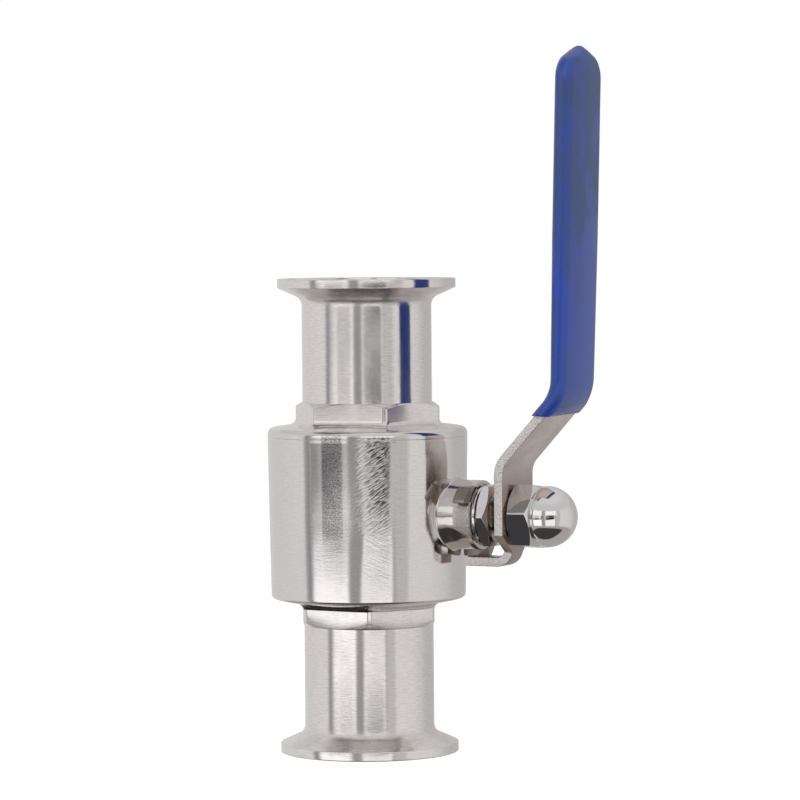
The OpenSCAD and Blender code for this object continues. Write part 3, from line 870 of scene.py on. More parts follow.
@dataclass(frozen=True)
class Ptfe:
    """White sintered plastic of the seats and seals.

    Args:
        name: Name of the material.
        colour: Colour of the plastic.
    """

    name: str
    colour: Colour

    def material(self) -> bpy.types.Material:
        """Builds the material: waxy white with faint turning rings."""
        made, sheet = fresh(self.name)
        place = sheet.place()
        cloud = sheet.noise(place, 240.0, 3.0, 0.5)
        rings = sheet.noise(sheet.stretched(place, (60, 60, 3000)), 1.0, 2.0, 0.5)
        darker = tuple(c * 0.93 for c in self.colour)
        sheet.surface(
            sheet.mix(cloud, rgba(self.colour), rgba(darker)), 0.42, sheet.times(rings, 1.5 * MICRON),
            Subsurface_Weight=0.1, Subsurface_Scale=0.002)
        return made


# The numbers of a steel are roughness, stretch, grain pitch and depth, wave pitch and depth, and soil.
TUBE_STEEL = TubeSteel(
    "tube steel", Lay.AROUND_PIPE, (0.95, 0.9, 0.875), 0.16, 0.85, 0.1, 0.35, 12.0, 60.0, 0.22)
DRUM_STEEL = DrumSteel(
    "drum steel", Lay.AROUND_PIPE, (0.88, 0.84, 0.82), 0.09, 0.25, 0.1, 0.22, 11.0, 75.0, 0.17)
BOSS_STEEL = BossSteel(
    "boss steel", Lay.AROUND_STEM, (0.76, 0.71, 0.675), 0.12, 0.0, 0.25, 0.5, 3.2, 60.0, 0.25)
LUG_STEEL = Steel("lug steel", Lay.AROUND_STEM, (0.42, 0.37, 0.34), 0.35, 0.0, 0.25, 2.0, 2.0, 60.0, 0.3)
NUT_STEEL = Steel("nut steel", Lay.AROUND_STEM, (0.85, 0.83, 0.81), 0.06, 0.0, 0.1, 0.08, 4.0, 110.0, 0.05)
THREAD_STEEL = Steel("thread steel", Lay.AROUND_STEM, (0.4, 0.34, 0.3), 0.3, 0.0, 0.1, 0.5, 2.0, 10.0, 0.4)
BALL_STEEL = Steel("ball steel", Lay.AROUND_PIPE, (0.85, 0.83, 0.81), 0.05, 0.0, 0.1, 0.05, 8.0, 1.0, 0.03)
LEVER_STEEL = ShearedSteel(
    "lever steel", Lay.ALONG_LEVER, (0.88, 0.78, 0.75), 0.28, 0.0, 0.35, 6.0, 6.0, 90.0, 0.3,
    tear=0.5, tear_depth=45.0)
EDGE_STEEL = ShearedSteel(
    "sheared edge steel", Lay.ACROSS_EDGE, (0.93, 0.88, 0.85), 0.16, 0.0, 0.3, 6.0, 1.2, 22.0, 0.2)
SLEEVE_VINYL = Vinyl("dipped blue vinyl", (0.012, 0.046, 0.31), (0.017, 0.044, 0.16), 0.26)
SEAL_PTFE = Ptfe("white ptfe", (0.88, 0.88, 0.86))


@dataclass
class Finishes:
    """One material of each finish."""

    made: dict[str, bpy.types.Material] = field(default_factory=dict)

    def of(self, finish: Steel | Vinyl | Ptfe) -> bpy.types.Material:
        """Material of a finish, made once."""
        if finish.name not in self.made:
            self.made[finish.name] = finish.material()
        return self.made[finish.name]


@dataclass
class ClampEnd:
    """Clamp ferrule with its tube.

    Args:
        port_r: Radius of the bore.
        tube_r: Radius of the tube.
        rim_r: Radius of the rim.
        rim_h: Height of the rim's edge.
        edge: Radius of the rim's corners.
        slope: Slope of the rim's back, in degrees.
        fillet: Radius between the back and the tube.
        groove_mid: Radius of the middle of the gasket's groove.
        groove_r: Radius of the groove's section.
    """

    port_r: float = 16.0
    tube_r: float = 18.35
    rim_r: float = 25.25
    rim_h: float = 2.6
    edge: float = 0.35
    slope: float = 24.0
    fillet: float = 3.0
    groove_mid: float = 21.75
    groove_r: float = 1.4

    def outline(self, mouth: float, inward: float) -> list[tuple[float, float, float]]:
        """Corners from the port's mouth over the face, groove and rim to the tube.

        Args:
            mouth: Height of the clamp face.
            inward: 1 if the valve is above the face and -1 if it is below.

        Returns:
            Corners with their radii, the last one at the root of the tube.
        """
        def at(r: float, h: float, edge: float = 0.0) -> tuple[float, float, float]:
            return (r, mouth + inward * h, edge)

        half = arc((self.groove_mid, 0.0), self.groove_r, 180, 0, 13)
        root = self.rim_h + (self.rim_r - self.tube_r) * math.tan(math.radians(self.slope))
        return [
            at(self.port_r, 0, 0.25), *[at(r, h) for r, h in half], at(self.rim_r, 0, self.edge),
            at(self.rim_r, self.rim_h, self.edge), at(self.tube_r, root, self.fillet)]


@dataclass
class HexCollar:
    """Hexagon round a tube, with a chamfer towards the tube.

    Args:
        base: Height of the face that it stands on.
        end: Height where its chamfer meets the tube.
        turn: Angle of one corner, in degrees.
        slope: Slope of the chamfer, in degrees.
        turned_d: Diameter that the corners are turned to.
        flats: Distance across the flats.
        tube_r: Radius of the tube.
        root: Radius of the fillet at its base.
        lean: Angle at which the face below falls away, in degrees.
        level_r: Radius outside which it falls away.
        bury: Depth to which the collar goes on inside the wall.
        sink: How far its inside lies within the tube's skin.
        overlap: How far the chamfer goes on within the tube's skin.
        soft: Width of the softened edge between flat and chamfer.
        rub: How much the corners are rubbed down.
        around: Points in a ring.
    """

    base: float
    end: float
    turn: float
    slope: float
    turned_d: float
    flats: float = 37.0
    tube_r: float = 18.35
    root: float = 0.7
    lean: float = 0.0
    level_r: float = 20.0
    bury: float = 2.0
    sink: float = 1.3
    overlap: float = 0.3
    soft: float = 0.12
    rub: float = 0.25
    around: int = 240

    def shell(self, slot: int) -> Shell:
        """Loop of rings from inside the wall out over the flats and down the chamfer.

        Near its base the hexagon widens by f - sqrt(f^2 - d^2), with the fillet's radius f and
        the distance d past the fillet's start. The fillet's foot follows the face below it, which
        falls away at the angle lean outside the radius level_r.

        Args:
            slot: Number of the material slot.

        Returns:
            The collar's shell.
        """
        way = 1.0 if self.end > self.base else -1.0
        r = np.minimum(hexagon_radius(self.flats, self.around, self.rub), self.turned_d / 2)
        tan, lean = (math.tan(math.radians(v)) for v in (self.slope, self.lean))
        shoulder = self.end - way * (r - self.tube_r) * tan
        foot = self.base - way * self.bury
        top = self.end + way * self.overlap * tan
        rows = [(self.tube_r - self.sink, foot), (r + self.root, foot)]
        for d in np.linspace(self.root, 0, 6):
            grow = self.root - math.sqrt(max(self.root**2 - d**2, 0))
            fall = np.clip(r + grow - self.level_r, 0, None) * lean * d / self.root
            rows.append((r + grow, self.base + way * (self.root - d - fall)))
        rows += [
            (r, shoulder - way * self.soft), (r - self.soft, shoulder + way * self.soft * tan),
            (self.tube_r - self.overlap, top), (self.tube_r - self.sink, top)]
        rings = carry_round(stacked(rows, self.around), Axis.PIPE, self.around)
        return skin(spun(rings, Axis.PIPE, self.turn), loop=True, slot=slot)


@dataclass
class Housing:
    """Body with its drum, boss and lugs, the end cap and the follower.

    A name's ending says what it is: _z a height, _x a place along the stem, _r a radius, _edge
    the radius of a corner and _h a height of the piece itself.
    """

    finishes: Finishes
    clamp: ClampEnd = field(default_factory=ClampEnd)
    # The drum: its foot, the seam to the end cap's disc, and the disc's top.
    foot_z: float = 42.28
    seam_z: float = 89.62
    disc_z: float = 93.02
    top_z: float = 134.2
    drum_r: float = 28.3
    taper: float = 0.77
    foot_level_r: float = 20.0
    foot_rim_z: float = 43.88
    foot_edge: float = 1.2
    disc_level_r: float = 20.7
    disc_rim_z: float = 91.955
    disc_edge: float = 1.8
    seam_edge: float = 0.12
    # The inside: the ball's chamber, the seats' pockets and the end cap's thread.
    chamber_r: float = 24.0
    pocket_r: float = 22.46
    pocket_z: float = 55.98
    seat_low_z: float = 47.48
    seat_high_z: float = 88.52
    thread_r: float = 25.0
    thread_gap: float = 0.1
    recess_r: float = 26.6
    recess_h: float = 1.5
    spigot_z: float = 82.52
    runout_z: float = 80.52
    # The boss, from its root on the drum to its mouth, and the stem's box and bore in it.
    boss_r: float = 9.75
    boss_x: float = 36.3
    boss_fillet: float = 0.7
    mouth_r: float = 8.7
    mouth_x: float = 35.4
    box_r: float = 7.2
    box_x: float = 29.8
    web_x: float = 27.4
    bore_r: float = 5.08
    shoulder_r: float = 6.9
    hole_r: float = 8.6
    hole_x: tuple[float, float] = (18.0, 40.0)
    # How far past its edges the drum's finish reaches.
    margin: float = 0.2
    # The lugs: side, height and corner radius of their section, places and insets of their rings, lengths.
    lug_corners: Corners = (
        (3.9, -6.0, 0), (3.9, -12.05, 0.35), (4.9, -12.05, 0.5), (8.3, -8.3, 0.8), (8.3, -3.7, 0),
        (6.0, -3.2, 0))
    lug_back: Stops = ((0.0, 0.8), (0.2, 0.2), (0.6, 0.0))
    lug_front: Stops = ((-0.4, 0.0), (-0.1, 0.1), (0.0, 0.35))
    lug_long: float = 8.3
    lug_short: float = 3.9
    # The follower: radius, place and corner radius of its section.
    follower_corners: Corners = (
        (5.08, 34.9, 0.1), (7.1, 34.9, 0.2), (7.1, 36.0, 0), (8.25, 36.0, 0.1), (8.25, 37.3, 0.3),
        (5.08, 37.3, 0.15))

    def drum_radius(self, z: np.ndarray) -> np.ndarray:
        """Radius of the drum: drum_r - taper * t^1.15, with t from 0 at the seam to 1 at the foot."""
        t = np.clip((self.seam_z - z) / (self.seam_z - self.foot_z), 0, 1)
        return self.drum_r - self.taper * t**1.15

    def body_profile(self) -> np.ndarray:
        """Closed profile of the body about the pipe."""
        z = np.linspace(self.foot_rim_z + 1.4, self.seam_z - 1.0, 22)
        drum = [(float(r), float(h), 0.0) for r, h in zip(self.drum_radius(z), z)]
        rim_r = float(self.drum_radius(np.array(self.foot_rim_z)))
        corners = [
            *self.clamp.outline(0.0, 1.0),
            (self.clamp.tube_r, self.foot_z, 0.5), (self.foot_level_r, self.foot_z, 0.4),
            (rim_r, self.foot_rim_z, self.foot_edge), *drum,
            (self.drum_r, self.seam_z, self.seam_edge), (self.recess_r, self.seam_z, 0.1),
            (self.recess_r, self.seam_z - self.recess_h, 0),
            (self.thread_r, self.seam_z - self.recess_h, 0.1),
            (self.thread_r, self.runout_z, 0), (self.chamber_r, self.runout_z, 0.1),
            (self.chamber_r, self.pocket_z, 0), (self.pocket_r, self.pocket_z, 0.1),
            (self.pocket_r, self.seat_low_z, 0), (self.clamp.port_r, self.seat_low_z, 0.1)]
        return rounded(corners)

    def cap_profile(self) -> np.ndarray:
        """Closed profile of the end cap about the pipe."""
        thread_r = self.thread_r - self.thread_gap
        corners = [
            *self.clamp.outline(self.top_z, -1.0),
            (self.clamp.tube_r, self.disc_z, 0.4), (self.disc_level_r, self.disc_z, 0.3),
            (self.drum_r, self.disc_rim_z, self.disc_edge),
            (self.drum_r, self.seam_z, self.seam_edge), (thread_r, self.seam_z, 0),
            (thread_r, self.spigot_z, 0.3), (self.pocket_r, self.spigot_z, 0.1),
            (self.pocket_r, self.seat_high_z, 0), (self.clamp.port_r, self.seat_high_z, 0.1)]
        return rounded(corners)

    def boss_shell(self, slot: int, around: int = 224) -> Shell:
        """Loop of rings about the stem, from the drum over the boss and back inside it.

        Args:
            slot: Number of the material slot.
            around: Points in a ring.

        Returns:
            The boss's shell.
        """
        a = np.radians(np.arange(around) * 360.0 / around)
        rows: list[tuple[object, object]] = []
        f = self.boss_fillet
        for p in self.boss_r + f * (1 - np.sin(np.linspace(0, math.pi / 2, 11))):
            drum = self.drum_radius(STEM_Z + p * np.sin(a))
            height = np.sqrt(drum**2 - (p * np.cos(a)) ** 2)
            rise = f - math.sqrt(max(f**2 - (self.boss_r + f - p) ** 2, 0))
            rows.append((p, height + rise - (0.02 if rise < 1e-6 else 0.0)))
        rows += list(rounded([
            (self.boss_r, self.boss_x - 3.0, 0), (self.boss_r, self.boss_x, 0.22),
            (self.mouth_r, self.boss_x, 0.15), (self.mouth_r, self.mouth_x, 0.05),
            (self.box_r, self.mouth_x, 0.15), (self.box_r, self.box_x, 0),
            (self.bore_r, self.box_x, 0.1), (self.bore_r, self.web_x, 0.1), (self.shoulder_r, self.web_x, 0)],
            steps=4, closed=False))
        for p in (self.shoulder_r, self.hole_r + 0.3):
            rows.append((p, np.sqrt(self.chamber_r**2 - (p * np.cos(a)) ** 2)))
        return skin(carry_round(stacked(rows, around), Axis.STEM, around), loop=True, slot=slot)

    def lug_shell(self, length: float, slot: int) -> Shell:
        """Stop lug under the boss: a rounded wedge that starts at the boss's mouth.

        Args:
            length: Length along the stem.
            slot: Number of the material slot.

        Returns:
            The lug's shell.
        """
        wedge = rounded(self.lug_corners)
        middle = wedge.mean(0)
        way = wedge - middle
        size = np.linalg.norm(way, axis=1, keepdims=True)
        steps = [(self.boss_x - length + x, inset) for x, inset in self.lug_back]
        steps += [(self.boss_x + x, inset) for x, inset in self.lug_front]
        rings = np.stack([
            np.concatenate([np.full_like(size, x), middle + way * (1 - inset / size)], 1)
            for x, inset in steps])
        rings[..., 2] += STEM_Z
        return skin(rings, slot=slot)

    def lug_mirror(self, shell: Shell) -> Shell:
        """Second lug: the first one with Y and height exchanged about the stem's axis."""
        y, z = shell.points[:, 1].copy(), shell.points[:, 2].copy() - STEM_Z
        shell.points[:, 1], shell.points[:, 2] = z, y + STEM_Z
        return shell.outward()

    def build(self) -> None:
        """Builds the body, the end cap and the follower."""
        of = self.finishes.of
        metals = [of(TUBE_STEEL), of(DRUM_STEEL), of(BOSS_STEEL), of(LUG_STEEL)]
        hole = skin(carry_round(np.array([(self.hole_r, x) for x in self.hole_x]), Axis.STEM, 96))
        body = turned(self.body_profile(), Axis.PIPE, 288)
        made = make_piece("body_casting", [body], metals, "housing", "valve_body", cutter=hole)
        self.paint_drum(made.data, self.foot_z, self.seam_z)
        collar = HexCollar(
            self.foot_z, end=36.08, turn=-2.7, slope=33.0, turned_d=42.0, root=1.4, lean=12.0)
        lugs = [self.lug_shell(self.lug_long, 3), self.lug_mirror(self.lug_shell(self.lug_short, 3))]
        join_into(made, make_mesh("boss", [self.boss_shell(2), collar.shell(0), *lugs], 32.0))
        cap = turned(self.cap_profile(), Axis.PIPE, 288)
        collar = HexCollar(
            self.disc_z, end=99.32, turn=11.2, slope=25.0, turned_d=43.4, root=1.6, lean=8.0,
            level_r=self.disc_level_r)
        made = make_piece(
            "end_cap_turning", [cap, collar.shell(0)], metals, "housing", "end_cap")
        self.paint_drum(made.data, self.seam_z, self.disc_z)
        bush = turned(rounded(self.follower_corners), Axis.STEM, 128)
        make_piece("follower", [bush], [of(NUT_STEEL)], "housing", "gland_follower")

    def paint_drum(self, mesh: bpy.types.Mesh, low: float, high: float) -> None:
        """Gives the drum's finish to the faces outside the tube's radius between two heights."""
        x, y, z = face_numbers(mesh, "center", 3).T / MM
        slots = face_numbers(mesh, "material_index", 1)[:, 0]
        drum = np.hypot(x, y) > self.clamp.tube_r + 2 * self.margin
        slots[drum & (z > low - self.margin) & (z < high + self.margin)] = 1
        mesh.polygons.foreach_set("material_index", slots.astype(np.int32))


def join_into(piece: bpy.types.Object, extra: bpy.types.Mesh) -> None:
    """Adds the faces of a mesh to a piece, with their map, slots and sharp edges."""
    mate = bpy.data.objects.new("mate", extra)
    for material in piece.data.materials:
        extra.materials.append(material)
    bpy.context.scene.collection.objects.link(mate)
    chosen = {"active_object": piece, "object": piece, "selected_editable_objects": [piece, mate]}
    with bpy.context.temp_override(**chosen):
        bpy.ops.object.join()


@dataclass
class BarPath:
    """Middle line of the bent bar: straight lengths joined by arcs, in X and Z.

    Args:
        corners: X and Z of each corner.
        bends: Radius of the arc at each inner corner.
        steps: Pieces of an arc.
    """

    corners: tuple[tuple[float, float], ...] = (
        (32.6, 55.2), (45.65, 55.2), (45.65, 82.3), (63.75, 102.1), (66.304, 196.466))
    bends: tuple[float, ...] = (3.6, 6.5, 12.0)
    steps: int = 12

    def line(self) -> tuple[np.ndarray, np.ndarray, np.ndarray]:
        """Points of the line, the unit direction at each and the length up to each."""
        c = [(*p, r) for p, r in zip(self.corners, (0.0, *self.bends, 0.0))]
        points = rounded(c, self.steps, closed=False)
        step = np.diff(points, axis=0)
        size = np.linalg.norm(step, axis=1, keepdims=True)
        unit = step / size
        way = np.concatenate([unit[:1], unit[:-1] + unit[1:], unit[-1:]])
        run = np.concatenate([[0], np.cumsum(size)])
        return points, way / np.linalg.norm(way, axis=1, keepdims=True), run

    def at(self, lengths: np.ndarray) -> tuple[np.ndarray, np.ndarray]:
        """Points and directions at the given lengths along the line."""
        points, way, run = self.line()
        place = np.stack([np.interp(lengths, run, points[:, k]) for k in (0, 1)], -1)
        turn = np.stack([np.interp(lengths, run, way[:, k]) for k in (0, 1)], -1)
        return place, turn / np.linalg.norm(turn, axis=1, keepdims=True)

    def length_at(self, z: float, start: float) -> float:
        """Length along the line where it reaches the height z, past the length start."""
        points, _, run = self.line()
        keep = run >= start
        return float(np.interp(z, points[keep, 1], run[keep]))

    def total(self) -> float:
        """Length of the whole line."""
        return float(self.line()[2][-1])


def bar_section(thick: np.ndarray, wide: np.ndarray, edge: np.ndarray, steps: int = 5) -> np.ndarray:
    """Rounded rectangles, one for each ring.

    Corner k's arc has its middle at (+-(t/2 - e), +-(w/2 - e)) and the radius e, and runs from
    90 k to 90 (k + 1) degrees.

    Args:
        thick: Thickness t of each ring.
        wide: Width w of each ring.
        edge: Radius e of each ring's corners.
        steps: Pieces of a corner's arc.

    Returns:
        Array of ring, point, and offset across the thickness and across the width.
    """
    a = np.radians(np.concatenate([np.linspace(90 * k, 90 * (k + 1), steps + 1) for k in range(4)]))
    sx = np.repeat([1.0, -1.0, -1.0, 1.0], steps + 1)
    sy = np.repeat([1.0, 1.0, -1.0, -1.0], steps + 1)
    t, w, e = (np.asarray(v, float)[:, None] for v in (thick, wide, edge))
    return np.stack([sx * (t / 2 - e) + e * np.cos(a), sy * (w / 2 - e) + e * np.sin(a)], -1)


def swept(
    place: np.ndarray, way: np.ndarray, section: np.ndarray, slide: np.ndarray | float = 0.0,
) -> np.ndarray:
    """Rings of a section along a line.

    A point is the line's place plus the first offset square to the line, plus the slide along it,
    with the second offset as Y.

    Args:
        place: Place of each ring on the line, in X and Z.
        way: Unit direction of the line at each ring.
        section: Two offsets of each point of each ring.
        slide: How far each point is pushed along the line.

    Returns:
        Array of ring, point and coordinate.
    """
    across, along = section[..., 0], section[..., 1]
    x = place[:, None, 0] + across * way[:, None, 1] + slide * way[:, None, 0]
    z = place[:, None, 1] - across * way[:, None, 0] + slide * way[:, None, 1]
    return np.stack([x, along, z], -1)


def point_half(depth: np.ndarray, wide: float, shoulder: float, slope: float) -> np.ndarray:
    """Half-width of a pointed end at a depth below its tip.

    The sides fall from the tip at the slope, depth / tan(slope), until they meet arcs of the
    shoulder's radius that end tangent to the full width.

    Args:
        depth: Depths below the tip.
        wide: Full width.
        shoulder: Radius of the shoulders.
        slope: Slope of the sides in degrees.

    Returns:
        Half-width at each depth.
    """
    s = math.radians(slope)
    middle = wide / 2 - shoulder
    knee = middle + shoulder * math.sin(s)
    drop = shoulder * math.cos(s) + knee * math.tan(s) - depth
    curve = middle + np.sqrt(np.clip(shoulder**2 - np.clip(drop, 0, None) ** 2, 0, None))
    return np.where(depth < knee * math.tan(s), depth / math.tan(s), curve)


@dataclass
class Lever:
    """Cranked lever with its stop tab, and the dipped sleeve on its grip.

    Args:
        finishes: Finishes of all pieces.
        path: Middle line of the bar.
        wide: Width of the bar.
        thick: Thickness of the bar.
        tab_wide: Width of the stop tab.
        foot_z: Height at which the bar starts to narrow to the tab.
        foot_drop: Height over which it narrows.
        plate_x: Near face of the upright part.
        stem_r: Radius of the stem's hole.
        flats: Distance across the hole's flats.
        wall: Wall of the sleeve.
        gap: Play between bar and sleeve, as added to the bar's width and thickness.
        dip_z: Height of the sleeve's rim.
        crank_run: Length along the line past which the rim's height is looked for.
        lip: Height of the rim's rounded lip.
        sleeve_edge: Radius of the sleeve's long edges.
        crown: How much the sleeve's faces swell in the middle.
        bead: How much thicker the sleeve's upper part is.
        droop_y: Side of the place where the rim hangs lower.
        droop_wide: Width of that place.
        droop_drop: How much lower it hangs.
        shoulder: Radius of the shoulders at the sleeve's point.
        slope: Slope of the point's sides, in degrees.
    """

    finishes: Finishes
    path: BarPath = field(default_factory=BarPath)
    wide: float = 20.2
    thick: float = 2.6
    tab_wide: float = 7.2
    foot_z: float = 63.1
    foot_drop: float = 5.0
    plate_x: float = 44.35
    stem_r: float = 5.1
    flats: float = 7.8
    wall: float = 1.5
    gap: float = 0.1
    dip_z: float = 96.4
    crank_run: float = 30.0
    lip: float = 0.45
    sleeve_edge: float = 2.75
    crown: float = 0.3
    bead: float = 1.0
    droop_y: float = -11.6
    droop_wide: float = 3.5
    droop_drop: float = 0.75
    shoulder: float = 6.6
    slope: float = 22.0

    def lengths(
        self, low: np.ndarray, step: float, total: float, tip: float, counts: tuple[int, int],
    ) -> np.ndarray:
        """Lengths of the rings: the given ones, then even ones, then ones that crowd towards the tip.

        Args:
            low: Lengths of the first rings.
            step: Length to the next ring.
            total: Length at the tip.
            tip: Length over which the rings crowd, as total - tip * (1 - s)^2 with s from 0 to 1.
            counts: Numbers of the even rings and of the crowded ones.

        Returns:
            The lengths.
        """
        middle = np.linspace(low[-1] + step, total - tip, counts[0])
        return np.concatenate([low, middle, total - tip * (1 - np.linspace(0, 1, counts[1])[1:]) ** 2])

    def bar_shell(self) -> Shell:
        """Skin of the bare bar, with its width narrowing to the tab and to the pointed end."""
        tip = self.path.corners[-1][1]
        lengths = self.lengths(np.linspace(0, 34, 120), 0.4, self.path.total(), 12.0, (130, 26))
        place, way = self.path.at(lengths)
        z = place[:, 1]
        narrow = np.interp(z, [self.foot_z - self.foot_drop, self.foot_z], [self.tab_wide, self.wide])
        depth = np.clip(tip - 0.1 - z, 0.12, None)
        half = point_half(depth, self.wide, self.shoulder - self.wall, self.slope)
        wide = np.minimum(narrow, 2 * half)
        edge = np.minimum(0.3, wide * 0.3)
        section = bar_section(np.full(len(z), self.thick), wide, edge, 4)
        return skin(swept(place, way, section))

    def hole_shell(self) -> Shell:
        """Prism of the hole for the stem's two flats."""
        a = np.radians(np.arange(96) * 3.75)
        r = np.minimum(self.stem_r, self.flats / 2 / np.maximum(np.abs(np.cos(a)), 1e-6))
        x = np.array([self.plate_x - 1.0, self.plate_x + self.thick + 1.0])[:, None] * np.ones(96)
        profile = np.stack([np.stack([r, r]), x], -1)
        return skin(carry_round(profile, Axis.STEM, 96))

    def paint_edges(self, mesh: bpy.types.Mesh) -> None:
        """Gives the sheared finish to the faces that look along Y."""
        sheared = np.abs(face_numbers(mesh, "normal", 3)[:, 1]) > 0.75
        mesh.polygons.foreach_set("material_index", sheared.astype(np.int32))

    def build(self) -> None:
        """Builds the bar."""
        metals = [self.finishes.of(LEVER_STEEL), self.finishes.of(EDGE_STEEL)]
        bar = make_piece(
            "lever_bar", [self.bar_shell()], metals, "stem_set", "lever", sharp=40.0,
            cutter=self.hole_shell())
        self.paint_edges(bar.data)

    def build_sleeve(self) -> None:
        """Builds the dipped sleeve."""
        rows = np.concatenate([self.inner_rows()[::-1], self.rim_rows(), self.outer_rows()])
        vinyl = [self.finishes.of(SLEEVE_VINYL)]
        make_piece("sleeve_skin", [skin(rows)], vinyl, "stem_set", "grip_sleeve", sharp=60.0)

    def crowned(self, section: np.ndarray, half: np.ndarray) -> np.ndarray:
        """Section whose faces swell: each point comes in by crown * (side / half-width)^2."""
        share = (section[..., 1] / half[:, None]) ** 2
        return np.stack([section[..., 0] * (1 - self.crown * share), section[..., 1]], -1)

    def droop(self, section: np.ndarray) -> np.ndarray:
        """Length by which the rim hangs lower at its near outer corner."""
        near = np.exp(-(((section[..., 1] - self.droop_y) / self.droop_wide) ** 2))
        outer = np.clip(section[..., 0] / (self.wall + self.thick / 2), 0, 1)
        return self.droop_drop * near * outer

    def levelled(self, way: np.ndarray, section: np.ndarray, share: np.ndarray) -> np.ndarray:
        """Slide that brings the rings near the rim level with it, and hangs them with its droop.

        Args:
            way: Unit direction of the line at each ring.
            section: Two offsets of each point of each ring.
            share: How much of the slide each ring gets.

        Returns:
            Slide of each point along the line.
        """
        level = section[..., 0] * (way[:, 0] / way[:, 1])[:, None] * share[:, None]
        return level - self.droop(section) * (share**2)[:, None]

    def outer_rows(self) -> np.ndarray:
        """Rings of the outside, from the rim up to the point."""
        dip = self.path.length_at(self.dip_z, self.crank_run)
        tip_z = self.path.corners[-1][1] + self.wall
        reach = self.path.total()
        rise = np.linspace(0, 1, 14)
        lengths = self.lengths(dip + self.lip + rise * 11.0, 1.5, reach + self.wall, 12.0, (90, 34))
        place, way = self.path.at(np.minimum(lengths, reach))
        place = place + way * np.maximum(lengths - reach, 0)[:, None]
        depth = np.clip(tip_z - place[:, 1], 0.0, None)
        wide_full = self.wide + 2 * self.wall
        half = np.maximum(point_half(depth, wide_full, self.shoulder, self.slope), 0.12)
        e = np.clip(self.sleeve_edge - 0.8 * depth * math.cos(math.radians(self.slope)), 0, None)
        bead = np.clip((place[:, 1] - 100.0) / 45.0, 0, 1) * np.clip(depth / 7.0, 0, 1)
        full = self.thick + 2 * self.wall + self.bead * bead
        thick = full - 2 * self.sleeve_edge + 2 * np.sqrt(np.clip(self.sleeve_edge**2 - e**2, 0, None))
        edge = np.minimum(np.minimum(self.sleeve_edge, 0.48 * thick), 0.9 * half)
        section = self.crowned(bar_section(thick, 2 * half, edge, 10), half)
        share = np.concatenate([1 - rise**1.3, np.zeros(len(lengths) - len(rise))])
        return swept(place, way, section, self.levelled(way, section, share))

    def rim_rows(self) -> np.ndarray:
        """Rings round the rim's lip, from the inside to the outside."""
        dip = self.path.length_at(self.dip_z, self.crank_run)
        t = np.linspace(0, math.pi, 5)
        play = self.gap / 2
        grow = play + (self.wall - play) * (1 - np.cos(t)) / 2
        edge = np.interp(grow, [play, self.wall], [0.35, self.sleeve_edge])
        section = bar_section(self.thick + 2 * grow, self.wide + 2 * grow, edge, 10)
        crown = self.crowned(section, self.wide / 2 + grow)
        section = section + (crown - section) * (grow / self.wall)[:, None, None]
        place, way = self.path.at(dip + self.lip * (1 - np.sin(t)))
        return swept(place, way, section, self.levelled(way, section, np.ones(len(t))))

    def inner_rows(self) -> np.ndarray:
        """Rings of the inside, from the rim up to the bar's point."""
        dip = self.path.length_at(self.dip_z, self.crank_run)
        rise = np.linspace(0, 1, 8)
        lengths = self.lengths(dip + 2 * self.lip + rise * 9.0, 2.0, self.path.total(), 10.0, (40, 16))
        place, way = self.path.at(lengths)
        depth = np.clip(self.path.corners[-1][1] - place[:, 1], 0.12, None)
        half = point_half(depth, self.wide + self.gap, self.shoulder - self.wall, self.slope)
        wide = np.minimum(self.wide + self.gap, 2 * half)
        thick = np.full(len(wide), self.thick + self.gap)
        section = bar_section(thick, wide, np.minimum(0.35, wide * 0.3), 10)
        share = np.concatenate([1 - rise, np.zeros(len(lengths) - len(rise))])
        return swept(place, way, section, self.levelled(way, section, share))


